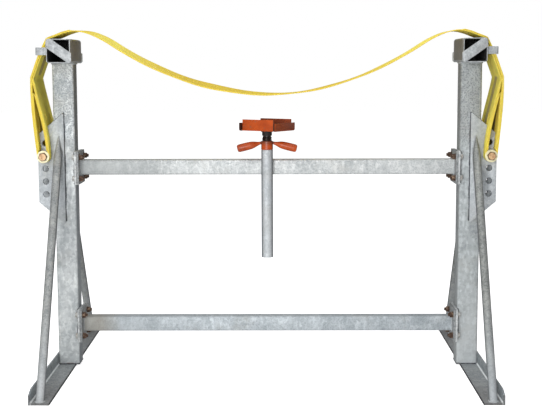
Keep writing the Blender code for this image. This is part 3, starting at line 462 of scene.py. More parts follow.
ANGLE_ZINC = galvanised(
    "galvanised_angle", (0.50, 0.53, 0.54), (0.20, 0.22, 0.24), 0.10, pits=0.4, blotches=0.4,
    zones=[
        (FLAT_LEG, 0.45, (0.27, 0.285, 0.29)),
        (FLAT_LEG + (("|Y|", 0.30, 0.60),), 0.50, (0.16, 0.15, 0.145)),
        ((("|X|", root_x - 0.0008, root_x),), 0.40, (0.20, 0.235, 0.25)),
        (ROOT_HIGHLIGHT, 0.95, (0.90, 0.93, 0.94)),
        ((("|X|", foot_low.x + 0.0045, foot_low.x + 0.0025),), 0.92, (0.020, 0.022, 0.025)),
        ((("|Y|", foot_high.y - 0.0060, foot_high.y - 0.0030),), 0.70, (0.07, 0.07, 0.07)),
    ],
)
HEAD_ZINC = galvanised(
    "galvanised_head", (0.56, 0.58, 0.59), (0.30, 0.32, 0.33), pits=0.3,
    zones=[(HEAD_SIDE_SHADE, 0.85, (0.20, 0.185, 0.16)), (HEAD_BORE_SHADE, 0.95, (0.022, 0.021, 0.020))],
)
for label, sign in SIDES:
    for name, node, zinc, corner in (
        ("upright_", "post_", POST_ZINC[label], TUBE_CORNER),
        ("ground_angle_", "foot_angle_", ANGLE_ZINC, 0.0),
        ("head_box_", "head_tube_", HEAD_ZINC, TUBE_CORNER),
    ):
        add_piece(name + label, eased_copy(node + label, corner=corner), zinc, [node + label])
    # A plate inside the rear of each head tube, near black all over from the bore's painted shade.
    low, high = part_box("head_tube_" + label)
    cap = eased_box(
        (low.x + HEAD_WALL, high.y - CAP_INSET - CAP_THICKNESS, low.z + HEAD_WALL),
        (high.x - HEAD_WALL, high.y - CAP_INSET, high.z - HEAD_WALL), 0.0006, 30,
    )
    add_piece("head_shade_cap_" + label, cap, HEAD_ZINC)

# Head strips, strap keepers and strap plates
# Flat bar and plate, cut, drilled and welded on before dipping.
# The keepers are bent cold round the sling, so their corners are rounded.
HOLE_PITCH = 0.060
HOLE_RADIUS = 0.0135
sleeve_low, sleeve_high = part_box("strap_sleeve_middle_right")
bolt_x = (sleeve_low.x + sleeve_high.x) / 2
bolt_z = (sleeve_low.z + sleeve_high.z) / 2
PLATE_ZINC = galvanised(
    "galvanised_plate", (0.56, 0.59, 0.61), (0.36, 0.39, 0.415), scale=120.0,
    holes=(bolt_x, bolt_z - HOLE_PITCH, HOLE_PITCH, HOLE_RADIUS),
)
# Painted shade: the head strips and keepers, which face upward, get a darker zinc than the plates.
SHADED_BAR_ZINC = galvanised("galvanised_bar", (0.50, 0.52, 0.53), (0.30, 0.32, 0.33), pits=0.35, blotches=0.3)
FLAT_NODES = (
    "head_strip_front_", "head_strip_rear_", "strap_keeper_", "strap_plate_front_", "strap_plate_rear_",
)
for label, sign in SIDES:
    for node in FLAT_NODES:
        name = node.replace("strip", "bar").replace("strap_", "") + label + "_steel"
        zinc = PLATE_ZINC if "plate" in node else SHADED_BAR_ZINC
        add_piece(name, eased_copy(node + label, 0.0008), zinc, [node + label])

# Cross beams
# Square tube cut square at both ends, between the bolted flanges.
# The left ends are darker, and the lower one is stained brown.
STAINED_END = (("X", -0.70, -0.80),)
# The left ends of the beams are coloured darker.
DARKER_END = (("X", -0.25, -0.75),)
BEAM_ZINC = {
    "upper_beam": galvanised(
        "galvanised_upper_beam", (0.74, 0.76, 0.76), (0.42, 0.45, 0.46), pits=0.3, blotches=0.40,
        zones=[(DARKER_END, 0.75, (0.34, 0.36, 0.36))],
    ),
    "lower_beam": galvanised(
        "galvanised_lower_beam", (0.60, 0.65, 0.68), (0.33, 0.37, 0.40), pits=0.3, blotches=0.4,
        zones=[(DARKER_END, 0.50, (0.33, 0.36, 0.38)), (STAINED_END, 0.35, (0.34, 0.27, 0.16))],
    ),
}
for node, zinc in BEAM_ZINC.items():
    add_piece("cross_" + node, eased_copy(node, corner=TUBE_CORNER), zinc, [node])

# Braces
# Round tube whose top end is forged to a point and welded flat to the strap plate.
# The lower end is cut level on the ground angle.
BRACE_RADIUS = 0.019
BRACE_TOP_HEIGHT = 1.000
BRACE_FOOT_REACH = 0.695
BRACE_SIDES = 40
TUBE_STEPS = 36
POINT_STEPS = 14
POINT_TAPER = 0.94
LOW_BRACE = (("Z", 0.40, 0.08),)
# Painted shade: both braces are darkened along their two flanks.
BRACE_ZINC = {
    "left": galvanised(
        "galvanised_brace_left", (0.46, 0.47, 0.46), (0.22, 0.235, 0.24), pits=0.30, blotches=0.25,
        zones=[(LOW_BRACE, 0.35, (0.54, 0.58, 0.62))], flanks=0.85,
    ),
    "right": galvanised(
        "galvanised_brace_right", (0.39, 0.405, 0.39), (0.17, 0.18, 0.18), pits=0.30, blotches=0.30,
        zones=[(LOW_BRACE, 0.50, (0.54, 0.58, 0.62))], flanks=0.85,
    ),
}


def skin(work, rings, closed=False):
    """Faces between rings of vertices, from each ring to the next."""
    for first, second in zip(rings, rings[1:] + rings[:1] if closed else rings[1:]):
        for index in range(len(first)):
            following = (index + 1) % len(first)
            corners = dict.fromkeys((first[index], first[following], second[following], second[index]))
            if len(corners) > 2:
                work.faces.new(list(corners))


def brace_mesh(node, plate, sign, end):
    """Brace between the floor and its plate: rings along the tube, pressed flat at the plate."""
    low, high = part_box(node)
    inner_x, outer_x = ends_of((low, high), 0, sign)
    wall = ends_of(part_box(plate), 1, end)[1] + end * 0.0003
    foot_y = end * BRACE_FOOT_REACH
    lean = (BRACE_FOOT_REACH - abs(wall)) / ((BRACE_TOP_HEIGHT + high.z) / 2)
    top_x = outer_x - sign * BRACE_RADIUS
    top = Vector((top_x, foot_y - end * lean * BRACE_TOP_HEIGHT, BRACE_TOP_HEIGHT))
    foot = Vector((inner_x + sign * BRACE_RADIUS, foot_y, 0))
    along = (top - foot).normalized()
    tip = Vector((top_x, wall, high.z))
    rings = [(foot + (top - foot) * step / TUBE_STEPS, 1.0, along) for step in range(TUBE_STEPS + 1)]
    for step in range(1, POINT_STEPS + 1):
        share = step / POINT_STEPS
        bent = along.lerp((tip - top).normalized(), min(1, share * 3))
        rings.append((top.lerp(tip, share), 1.0 - POINT_TAPER * share ** 1.15, bent))
    work = bmesh.new()
    flank = work.verts.layers.float.new("flank")
    loops = []
    for centre, share, direction in rings:
        second = direction.cross(Vector((1, 0, 0))).normalized()
        first = second.cross(direction).normalized()
        loop = []
        for index in range(BRACE_SIDES):
            angle = 2 * math.pi * index / BRACE_SIDES
            point = centre + (first * math.cos(angle) + second * math.sin(angle)) * BRACE_RADIUS * share
            if centre.z > low.z:
                point.z = max(point.z, low.z)
            else:
                point += along * ((low.z - point.z) / along.z)
            if end * point.y < end * wall:
                point.y = wall
            loop.append(work.verts.new(point))
            # The flank value, highest on the tube's two sides, places its painted shade.
            loop[-1][flank] = abs(math.cos(angle))
        loops.append(loop)
    skin(work, loops)
    work.faces.new(loops[-1])
    work.faces.new(list(reversed(loops[0])))
    bmesh.ops.recalc_face_normals(work, faces=work.faces)
    return mesh_of(work, node, 50)


for label, sign in SIDES:
    for end_label, end in ENDS:
        node = end_label + "_brace_" + label
        mesh = brace_mesh(node, "strap_plate_" + end_label + "_" + label, sign, end)
        add_piece(node + "_tube", mesh, BRACE_ZINC[label], [node])

# Flanges and their bolts
# Square plates welded to the posts and beams, drawn together by M16 bolts.
# The bolts came yellow-plated, and weather has browned most of them.
M16_ACROSS_FLATS = 0.024
M16_HEAD = 0.010
M16_NUT = 0.013
M16_WASHER = 0.003
M16_WASHER_RADIUS = 0.015
M16_BORE = 0.0085
M16_ROD = 0.008
M16_PITCH = 0.002
FLANGE_THICKNESS = 0.010
FLANGE_PITCH_DEPTH = 0.130
FLANGE_PITCH_HEIGHT = 0.100
SOOT = (0.10, 0.05, 0.02)
RIM_SHADE = (0.09, 0.04, 0.015)
HERE = Matrix.Identity(4)


def rusty_bolt(name, plate, brown, amount, metal=0.75, soot=0.35, rim=None):
    """Plated fastener, part bright and part brown, with soot in its hollows.

    Rim is an axis (x, z) and a radius past which the head is nearly black.
    """
    made, shader, vector = new_material(name)
    rust = placed_group(GRIME, vector, Scale=70.0, Amount=amount)["Mask"]
    tone = noise_node(vector, 120.0)
    colour = mixed(ranged(tone, 0.3, 0.7, 0.0, soot), mixed(rust, plate, brown), SOOT)
    if rim:
        x, z, radius = rim
        dark = ranged(axis_distance(vector, x, z), radius, radius + 0.0014, 0.0, 0.85)
        colour = mixed(dark, colour, RIM_SHADE)
    feed(shader, {
        "Base Color": colour, "Roughness": ranged(rust, 0, 1, 0.45, 0.85),
        "Metallic": ranged(rust, 0, 1, metal, 0.1), "Normal": relief(tone, 0.3, 0.0005),
    })
    return made


def circle(radius, height, sides):
    """Points round the Z axis."""
    angles = [2 * math.pi * index / sides for index in range(sides)]
    return [(radius * math.cos(angle), radius * math.sin(angle), height) for angle in angles]


def hexagon(across_flats, thickness, both_ends):
    """Chamfered hexagon from zero upward, as on a bolt head or a nut."""
    corner = across_flats / 2 / math.cos(math.pi / 6)
    chamfer = 0.14 * across_flats / 2
    points = circle(corner, chamfer if both_ends else 0.0, 6) + circle(corner, thickness - chamfer, 6)
    for height in (0.0, thickness) if both_ends else (thickness,):
        points += circle(0.96 * across_flats / 2, height, 36)
    work = bmesh.new()
    for point in points:
        work.verts.new(point)
    bmesh.ops.convex_hull(work, input=work.verts)
    bmesh.ops.dissolve_limit(work, angle_limit=math.radians(1), verts=work.verts, edges=work.edges)
    bmesh.ops.recalc_face_normals(work, faces=work.faces)
    return mesh_of(work, "hexagon")


def lathe(profile, sides, closed=False):
    """Mesh of (radius, height) points turned about Z."""
    work = bmesh.new()
    rings = []
    for radius, height in profile:
        if radius > 0.00001:
            rings.append([work.verts.new(point) for point in circle(radius, height, sides)])
        else:
            rings.append([work.verts.new((0, 0, height))] * sides)
    skin(work, rings, closed)
    bmesh.ops.recalc_face_normals(work, faces=work.faces)
    return mesh_of(work, "turned", 40)


def merged(meshes, degrees=0):
    """One mesh from several, each with its own place."""
    work = bmesh.new()
    for mesh, place in meshes:
        copy = mesh.copy()
        copy.transform(place)
        work.from_mesh(copy)
        bpy.data.meshes.remove(copy)
    return mesh_of(work, "merged", degrees)


def threaded_rod(radius, pitch, low, high, sides=24):
    """Rod with the ridges of a thread and a chamfered end."""
    profile = [(0, high), (radius - pitch * 0.6, high)]
    for index in range(int((high - low) / pitch)):
        height = high - 0.4 * pitch - index * pitch
        profile += [(radius, height - 0.3 * pitch), (radius - 0.55 * pitch, height - 0.8 * pitch)]
    profile += [(radius - 0.55 * pitch, low), (0, low)]
    return lathe(profile, sides)


def washer_mesh(outer, bore, thickness, sides):
    """Washer or sleeve from zero upward with eased edges."""
    ease = thickness * 0.15
    outside = [(outer - ease, 0), (outer, ease), (outer, thickness - ease), (outer - ease, thickness)]
    return lathe([(bore, 0), *outside, (bore, thickness)], sides, closed=True)


def dressed(geometry, material, result):
    """Ends a Geometry Nodes tree: its instances are made real and given a material."""
    real = add_node("GeometryNodeRealizeInstances", {0: geometry}).outputs[0]
    feed(result, {0: add_node("GeometryNodeSetMaterial", {0: real, "Material": material}).outputs[0]})


def pattern_tree(material):
    """Geometry Nodes: a fastener set out at the four corners of a rectangle."""
    takes = {"Geometry": "Geometry", "Depth Pitch": "Float", "Height Pitch": "Float"}
    tree, given, result = new_group("Geometry", "four_corner_pattern", takes, {"Geometry": "Geometry"})
    size = {"Size X": given["Depth Pitch"], "Size Y": given["Height Pitch"], "Vertices X": 2, "Vertices Y": 2}
    grid = add_node("GeometryNodeMeshGrid", size).outputs["Mesh"]
    place = add_node("GeometryNodeInstanceOnPoints", {"Points": grid, "Instance": given["Geometry"]})
    dressed(place.outputs[0], material, result)
    return tree


def grown(source, tree, values):
    """Plain mesh that a Geometry Nodes tree makes from a mesh or curve and its named inputs."""
    items = [item for item in tree.interface.items_tree if item.in_out == "INPUT" and item.name in values]
    inputs = [(item.identifier, values[item.name]) for item in items]
    return finished(source, [("NODES", {"node_group": tree})], inputs)


BROWNED = rusty_bolt("browned_zinc_nut", (0.38, 0.27, 0.19), (0.070, 0.040, 0.030), 0.78)
PALE_HEAD = rusty_bolt("pale_bolt_head", (0.56, 0.57, 0.55), (0.22, 0.14, 0.09), 0.38, 0.35)
POST_FLANGE_ZINC = galvanised(
    "galvanised_post_flange", (0.70, 0.72, 0.72), (0.34, 0.36, 0.37), 0.10, pits=0.4, blotches=0.5,
)
BEAM_FLANGE_ZINC = galvanised(
    "galvanised_beam_flange", (0.42, 0.44, 0.44), (0.18, 0.19, 0.20), 0.24, pits=0.4,
)
FOUR_CORNERS = pattern_tree(BROWNED)
washer = (washer_mesh(M16_WASHER_RADIUS, M16_BORE, M16_WASHER, 32), HERE)
on_washer = Matrix.Translation((0, 0, M16_WASHER))
m16_head = merged([(hexagon(M16_ACROSS_FLATS, M16_HEAD, False), on_washer), washer])
m16_rod = threaded_rod(M16_ROD, M16_PITCH, 0, M16_WASHER + M16_NUT + M16_ROD)
m16_nut = merged([(hexagon(M16_ACROSS_FLATS, M16_NUT, True), on_washer), washer, (m16_rod, HERE)])
pattern = {"Depth Pitch": FLANGE_PITCH_DEPTH, "Height Pitch": FLANGE_PITCH_HEIGHT}
heads = grown(m16_head, FOUR_CORNERS, pattern)
nuts = grown(m16_nut, FOUR_CORNERS, pattern)
FLANGE_KINDS = (
    ("post", POST_FLANGE_ZINC, M16_HEAD + M16_WASHER, FLANGE_THICKNESS, 1, "bolt_heads_", heads, PALE_HEAD),
    ("beam", BEAM_FLANGE_ZINC, 0.0, 0.0, -1, "bolt_nuts_", nuts, BROWNED),
)
for label, sign in SIDES:
    for tag in ("upper_" + label, "lower_" + label):
        for kind, zinc, standing, seat, facing, name, fasteners, plating in FLANGE_KINDS:
            low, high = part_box(kind + "_flange_" + tag)
            start = max(abs(low.x), abs(high.x)) - standing - FLANGE_THICKNESS
            near, far = sorted((sign * start, sign * (start + FLANGE_THICKNESS)))
            mesh = eased_box((near, low.y, low.z), (far, high.y, high.z), 0.0015, 35)
            add_piece(kind + "_plate_" + tag, mesh, zinc, [kind + "_flange_" + tag])
            turn = facing * sign
            axes = Matrix(((0, 0, turn, 0), (1, 0, 0, 0), (0, turn, 0, 0), (0, 0, 0, 1)))
            place = Matrix.Translation((sign * (start + seat), 0, (low.z + high.z) / 2)) @ axes
            add_piece(name + tag, merged([(fasteners, place)]), plating)

# Strap bolts, washers and sleeves
# M24 bolts through both strap plates. The washers are large, bright and pale yellow,
# the bolt heads have turned a warm copper brown, and grey tube sleeves carry the webbing.
M24_ACROSS_FLATS = 0.036
M24_HEAD = 0.015
M24_ROD = 0.012
M24_BORE = 0.0125
M24_PITCH = 0.003
M24_SHANK = 0.20
HEAD_TURN = {"left": 12, "right": -9}
BACKWARD = Matrix.Rotation(math.pi / 2, 4, "X")
ONWARD = Matrix.Rotation(-math.pi / 2, 4, "X")
HEAD_COPPER = rusty_bolt(
    "copper_brown_bolt", (0.70, 0.46, 0.24), (0.48, 0.26, 0.14), 0.50, 0.15, 0.25, (bolt_x, bolt_z, 0.0150),
)
WASHER_YELLOW = rusty_bolt("pale_yellow_washer", (0.84, 0.78, 0.50), (0.70, 0.60, 0.34), 0.30, 0.10, 0.12)
SLEEVE_ZINC = galvanised("galvanised_sleeve", (0.50, 0.51, 0.52), (0.34, 0.35, 0.36))
BOLT_RINGS = (
    ("broad_washer_", "strap_washer_", 0, 64, WASHER_YELLOW, "yellow_zinc", ("front_", "rear_")),
    ("strap_roller_", "strap_sleeve_", 2, 48, SLEEVE_ZINC, "galvanised_steel", ("front_", "middle_", "rear_")),
)
for label, sign in SIDES:
    low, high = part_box("strap_bolt_" + label)
    nut_low, nut_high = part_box("strap_bolt_nut_" + label)
    centre = (low + high) / 2
    spin = Matrix.Rotation(math.radians(HEAD_TURN[label]), 4, "Z")
    head_base = Matrix.Translation((centre.x, low.y + M24_HEAD, centre.z))
    shank = lathe([(0, 0), (M24_ROD, 0), (M24_ROD, M24_SHANK), (0, M24_SHANK)], 48)
    rod = threaded_rod(M24_ROD, M24_PITCH, M24_SHANK, high.y - low.y - M24_HEAD, 48)
    head = (hexagon(M24_ACROSS_FLATS, M24_HEAD, False), head_base @ BACKWARD @ spin)
    mesh = merged([head, (shank, head_base @ ONWARD), (rod, head_base @ ONWARD)], 30)
    add_piece("strap_pin_" + label, mesh, HEAD_COPPER, ["strap_bolt_" + label])
    place = Matrix.Translation((centre.x, nut_low.y, centre.z)) @ ONWARD @ spin
    mesh = merged([(hexagon(M24_ACROSS_FLATS, nut_high.y - nut_low.y, True), place)], 30)
    add_piece("strap_pin_nut_" + label, mesh, HEAD_COPPER, ["strap_bolt_nut_" + label])
    for name, node, axis, sides, material, slot, parts in BOLT_RINGS:
        for part in parts:
            low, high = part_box(node + part + label)
            ring = washer_mesh((high[axis] - low[axis]) / 2, M24_BORE, high.y - low.y, sides)
            place = Matrix.Translation((centre.x, low.y, centre.z)) @ ONWARD
            add_piece(name + part + label, merged([(ring, place)], 40), material, [node + part + label])

# Weld beads
# Hand-laid fillet welds under the zinc: overlapping ripples along each joint.
# Those at the post's foot are dark with dirt and those at the post flanges are dark;
# those along the strap plates' edges are dark beads of painted shadow.
WELD_PITCH = 0.0036
WELD_RADIUS = 0.0036
WELD_LENGTH = 0.0052
WELD_RISE = 0.002
TOP_WELD_RISE = 0.0024
STRIP_WELDS = ((0.040, 0.052), (-0.034, -0.052))
STRIP_WELD_RUN = 0.018
BRACE_FOOT_MIDDLE = 0.690
BRACE_FOOT_STRETCH = 1.17
POINT_WELD_START = 1.012
POINT_WELD_SPREAD = (0.95, 0.05)
PLATE_DRIFT = (0.0016, (0.0012, 47.0), (0.0006, 171.0))
FLANGE_DRIFT = (0.0052, (0.0011, 83.0), (0.0006, 231.0))
FLANGE_WELD_INSET = 0.004


def bead_tree(material):
    """Geometry Nodes: small rounded beads set out along curves, for welds and stitches."""
    takes = {"Geometry": "Geometry", "Pitch": "Float", "Radius": "Float", "Length": "Float"}
    tree, given, result = new_group("Geometry", "beads_along_curves", takes, {"Geometry": "Geometry"})
    points = {"Curve": given["Geometry"], "Length": given["Pitch"]}
    points = add_node("GeometryNodeCurveToPoints", points, mode="LENGTH").outputs
    ball = feed(tree.nodes.new("GeometryNodeMeshUVSphere"), {"Segments": 8, "Rings": 5, "Radius": 1.0})
    size = {0: given["Radius"], 1: given["Radius"], 2: times(given["Length"], 0.5)}
    aligned = add_node("FunctionNodeAlignRotationToVector", {"Vector": points["Tangent"]}, axis="Z")
    place = add_node("GeometryNodeInstanceOnPoints", {
        "Points": points["Points"],
        "Instance": add_node("GeometryNodeSetShadeSmooth", {"Geometry": ball.outputs["Mesh"]}).outputs[0],
        "Rotation": aligned.outputs[0],
        "Scale": add_node("ShaderNodeCombineXYZ", size).outputs[0],
    })
    dressed(place.outputs[0], material, result)
    return tree


def beads(routes, material, pitch=WELD_PITCH, radius=WELD_RADIUS, length=WELD_LENGTH):
    """Beads along polylines."""
    curve = bpy.data.curves.new("routes", "CURVE")
    curve.dimensions = "3D"
    for route in routes:
        spline = curve.splines.new("POLY")
        spline.points.add(len(route) - 1)
        for point, place in zip(spline.points, route):
            point.co = (*place, 1)
    return grown(curve, bead_tree(material), {"Pitch": pitch, "Radius": radius, "Length": length})


def rectangle(low, high):
    """Corners of a closed rectangle in a plane."""
    return [(low[0], low[1]), (high[0], low[1]), (high[0], high[1]), (low[0], high[1]), (low[0], low[1])]


def upright(x, depth, low, high):
    """Straight upright route."""
    return [(x, depth, low), (x, depth, high)]


def wavy_seam(x, side, depth, low, high, steps, drift):
    """Upright route that wanders sideways: drift is its mean and its waves, each an amount and a rate."""
    mean, *waves = drift
    seam = []
    for step in range(steps + 1):
        rise = low + (high - low) * step / steps
        aside = mean + sum(amount * math.sin(rate * rise) for amount, rate in waves)
        seam.append((x + side * aside, depth, rise))
    return seam


WELD_ZINC = galvanised("galvanised_weld", (0.58, 0.61, 0.62), (0.30, 0.32, 0.34), 0.10, 200.0)
DIRT_AND_SHADOW_ZINC = galvanised(
    "weld_dirt_and_painted_shadow", (0.17, 0.18, 0.20), (0.05, 0.055, 0.06), scale=200.0, pits=0.6, blotches=0.9,
)
for label, sign in SIDES:
    post = low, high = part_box("post_" + label)
    inner_x, outer_x = ends_of(post, 0, sign)
    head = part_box("head_tube_" + label)
    middle = (head[0] + head[1]) / 2
    keeper_low, keeper_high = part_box("strap_keeper_" + label)
    around = rectangle((low.x + WELD_RISE, low.y), (high.x - WELD_RISE, high.y))
    dirt_and_shadow_routes = [[(x, y, low.z + WELD_RISE) for x, y in around]]
    routes = [[(x, y, high.z - WELD_RISE) for x, y in rectangle(low, high)]]
    for depth in (keeper_low.y, keeper_high.y):
        routes.append(upright(ends_of(head, 0, sign)[1], depth, keeper_low.z, keeper_high.z))
    for end_label, end in ENDS:
        node = "strap_plate_" + end_label + "_" + label
        plate = plate_low, plate_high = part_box(node)
        plate_x = ends_of(plate, 0, sign)[0]
        face = ends_of(post, 1, end)[1]
        slope_x, slope_z = max((sign * vert.co.x, vert.co.z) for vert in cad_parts[node].data.vertices)
        fall = (plate_high.z - slope_z) * (outer_x - plate_x) * sign / (slope_x - sign * plate_x)
        top = plate_high.z + TOP_WELD_RISE
        # Painted shadow: dark beads along the plate's inner edge and its sloped top edge.
        dirt_and_shadow_routes.append(wavy_seam(plate_x, -sign, face, plate_low.z + 0.01, plate_high.z, 60, PLATE_DRIFT))
        dirt_and_shadow_routes.append([(plate_x, face, top), (outer_x, face, top - fall)])
        for aside, rise in STRIP_WELDS:
            runs = [middle.x + sign * (aside - run) for run in (0, STRIP_WELD_RUN)]
            routes.append([(x, ends_of(head, 1, end)[1], middle.z + rise) for x in runs])
        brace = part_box(end_label + "_brace_" + label)
        brace_x, tip_x = ends_of(brace, 0, sign)
        ring = circle(BRACE_RADIUS, brace[0].z + WELD_RISE, 24)
        foot_x = brace_x + sign * BRACE_RADIUS
        foot_y = end * BRACE_FOOT_MIDDLE
        routes.append([(foot_x + x, foot_y + BRACE_FOOT_STRETCH * y, z) for x, y, z in ring + ring[:1]])
        plate_face = ends_of(plate, 1, end)[1]
        point_x = tip_x - sign * BRACE_RADIUS
        for flank in (-BRACE_RADIUS, BRACE_RADIUS):
            ends = zip(POINT_WELD_SPREAD, (POINT_WELD_START, brace[1].z))
            routes.append([(point_x + spread * flank, plate_face, rise) for spread, rise in ends])
    for level_label in ("upper", "lower"):
        beam = beam_low, beam_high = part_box(level_label + "_beam")
        around = rectangle((beam_low.y, beam_low.z), (beam_high.y, beam_high.z))
        routes.append([(ends_of(beam, 0, sign)[1], depth, rise) for depth, rise in around])
        plate_low, plate_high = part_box("post_flange_" + level_label + "_" + label)
        bottom = plate_low.z + FLANGE_WELD_INSET
        top = plate_high.z - FLANGE_WELD_INSET
        # Two dark rows beside where each post flange meets the post.
        for depth in (low.y - 0.0008, high.y + 0.0008):
            dirt_and_shadow_routes.append(wavy_seam(inner_x, sign, depth, bottom, top, 32, FLANGE_DRIFT))
            dirt_and_shadow_routes.append(upright(inner_x + sign * 0.0015, depth, bottom, top))
    add_piece("weld_beads_" + label, beads(routes, WELD_ZINC), WELD_ZINC)
    add_piece("plate_welds_" + label, beads(dirt_and_shadow_routes, DIRT_AND_SHADOW_ZINC), DIRT_AND_SHADOW_ZINC)

# Sling
# One long band of 230 mm yellow polyester webbing. Each end turns back round the strap bolt's
# sleeves and is sewn to itself, and a second ply doubles it over the heads down to the bolt.
SLING_WIDTH = 0.230
SLING_PLY = 0.0046
PLY_GAP = 0.0002
SLOT_CLEARANCE = 0.004
SLOT_TOP = 1.196
LINING_CLEARANCE = 0.016
LOWEST = 1.2885
SHOULDER_INSET = 0.205
SHOULDER_DROP = 0.0106
CREST_INSET = 0.063
CREST_RISE = 0.0365
LAP_END_INSET = 0.053
KINK_OUT = 0.1315
KINK_DROP = 0.1775
LEG_STEPS = 26
TURN_STEPS = 18
RIB_PITCH = 0.0042
PICK_PITCH = 0.0030


def smooth_path(points, steps):
    """Points along a smooth curve through the given ones."""
    padded = [points[0]] + list(points) + [points[-1]]
    path = []
    for before, start, end, after in zip(padded, padded[1:], padded[2:], padded[3:]):
        for step in range(steps):
            t = step / steps
            place = []
            for a, b, c, d in zip(before, start, end, after):
                curve = 2 * b + (c - a) * t + (2 * a - 5 * b + 4 * c - d) * t * t
                place.append((curve + (3 * b - a - 3 * c + d) * t ** 3) / 2)
            path.append(tuple(place))
    return path + [tuple(points[-1])]


def bezier(*corners):
    """Points along one cubic curve with four corners."""
    points = []
    for step in range(LEG_STEPS + 1):
        t = step / LEG_STEPS
        weights = ((1 - t) ** 3, 3 * (1 - t) ** 2 * t, 3 * (1 - t) * t * t, t ** 3)
        points.append(tuple(sum(w * c[axis] for w, c in zip(weights, corners)) for axis in (0, 1)))
    return points


def offset_path(path, distance):
    """Path moved sideways, positive to the outer and upper side of the right-hand half."""
    moved = []
    for index, place in enumerate(path):
        along = (Vector(path[min(index + 1, len(path) - 1)]) - Vector(path[max(index - 1, 0)])).normalized()
        moved.append((place[0] - along.y * distance, place[1] + along.x * distance))
    return moved


def width_columns(slots):
    """Places across the width, closer at the selvedges and at the slots."""
    half = SLING_WIDTH / 2
    ordered = sorted({-half, half, *slots, *(-half + SLING_WIDTH * step / 12 for step in range(1, 12))})
    kept = ordered[:1]
    for column in ordered[1:]:
        close = column - kept[-1] < 0.004
        if close and column not in slots and column != half:
            continue
        if close and kept[-1] not in slots and kept[-1] != -half:
            kept.pop()
        kept.append(column)
    return kept


head_low, head_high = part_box("head_tube_right")
post_x = (head_low.x + head_high.x) / 2
corner_x = head_high.x
top_z = head_high.z
shoulder = (post_x - SHOULDER_INSET, top_z - SHOULDER_DROP)
crest = (post_x - CREST_INSET, top_z + CREST_RISE)
sag = (shoulder[1] - LOWEST) / shoulder[0] ** 2
hang = [(shoulder[0] * step / 10, LOWEST + sag * (shoulder[0] * step / 10) ** 2) for step in range(11)]
over_head = [
    (shoulder[0] + 0.40 * (crest[0] - shoulder[0]), shoulder[1] + 0.60 * (crest[1] - shoulder[1])),
    (shoulder[0] + 0.70 * (crest[0] - shoulder[0]), shoulder[1] + 0.89 * (crest[1] - shoulder[1])),
    crest,
    (corner_x - 0.073, top_z + 0.0275),
    (corner_x - 0.038, top_z + 0.0140),
    (corner_x - 0.003, top_z + 0.0008),
    (corner_x + 0.0058, top_z - 0.0103),
    (corner_x + 0.0183, top_z - 0.0350),
    (corner_x + 0.0393, top_z - 0.0773),
    (post_x + KINK_OUT, top_z - KINK_DROP),
]
middle_line = smooth_path(hang + over_head, 6)
lap_start = next(index for index, place in enumerate(middle_line) if place[0] > post_x - LAP_END_INSET)
kink_x, kink_z = middle_line[-1]
outer_radius = (sleeve_high.z - sleeve_low.z) / 2 + 0.0003 + 2 * SLING_PLY + PLY_GAP
reach = (kink_z - bolt_z) / 3
outer_leg = bezier(
    (kink_x + 0.0068, kink_z - 0.0003), (kink_x + 0.0108, kink_z - 0.0003 - reach),
    (bolt_x + outer_radius + 0.013, bolt_z + reach), (bolt_x + outer_radius, bolt_z),
)
inner_leg = bezier(
    (kink_x - 0.0088, kink_z - 0.0028), (kink_x - 0.0308, kink_z - 0.0028 - reach),
    (bolt_x - outer_radius, bolt_z + reach), (bolt_x - outer_radius, bolt_z),
)
angles = [-math.pi * step / TURN_STEPS for step in range(1, TURN_STEPS)]
bottom = [
    (bolt_x + outer_radius * math.cos(angle), bolt_z + outer_radius * math.sin(angle)) for angle in angles
]
eye_outside = outer_leg + bottom + inner_leg[::-1]
slots = []
for end_label, end in ENDS:
    plate_low, plate_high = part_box("strap_plate_" + end_label + "_right")
    slots.append((plate_low.y - SLOT_CLEARANCE, plate_high.y + SLOT_CLEARANCE))


def ply_mesh(path, wave=None):
    """Webbing ply: a sheet along a path, slit for the strap plates, with its own UV map in metres."""
    columns = width_columns([edge for slot in slots for edge in slot])
    work = bmesh.new()
    layer = work.loops.layers.uv.new("webbing")
    run = [0.0]
    for first, second in zip(path, path[1:]):
        run.append(run[-1] + math.dist(first, second))
    grid = []
    for x, z in path:
        grid.append([work.verts.new((x, y, z + (wave(x, y) if wave else 0.0))) for y in columns])
    for index in range(len(path) - 1):
        height = (path[index][1] + path[index + 1][1]) / 2
        for number in range(len(columns) - 1):
            centre = (columns[number] + columns[number + 1]) / 2
            if height < SLOT_TOP and any(low < centre < high for low, high in slots):
                continue
            places = [(number, index), (number + 1, index), (number + 1, index + 1), (number, index + 1)]
            face = work.faces.new([grid[b][a] for a, b in places])
            for loop, (a, b) in zip(face.loops, places):
                loop[layer].uv = (columns[a], run[b])
    loose = [vert for vert in work.verts if not vert.link_faces]
    bmesh.ops.delete(work, geom=loose, context="VERTS")
    area = sum(face.calc_area() for face in work.faces)
    solid = {"thickness": SLING_PLY, "offset": 0.0, "use_even_offset": True}
    ease = {
        "width": SLING_PLY * 0.22, "segments": 2, "limit_method": "ANGLE", "angle_limit": math.radians(60),
    }
    mesh = finished(mesh_of(work, "ply"), [("SOLIDIFY", solid), ("BEVEL", ease)])
    smooth_by_angle(mesh, 50)
    return mesh, run[-1], area


def roll(x, y):
    """The empty band lies a little rolled: its rear edge rides higher left of the middle."""
    centre = math.exp(-((x + 0.45) / 0.42) ** 6)
    ripple = 0.0012 * math.sin(23.0 * x + 9.0 * y) * math.exp(-(x / 0.62) ** 8)
    return centre * 0.015 * (y / SLING_WIDTH + 0.5) + ripple


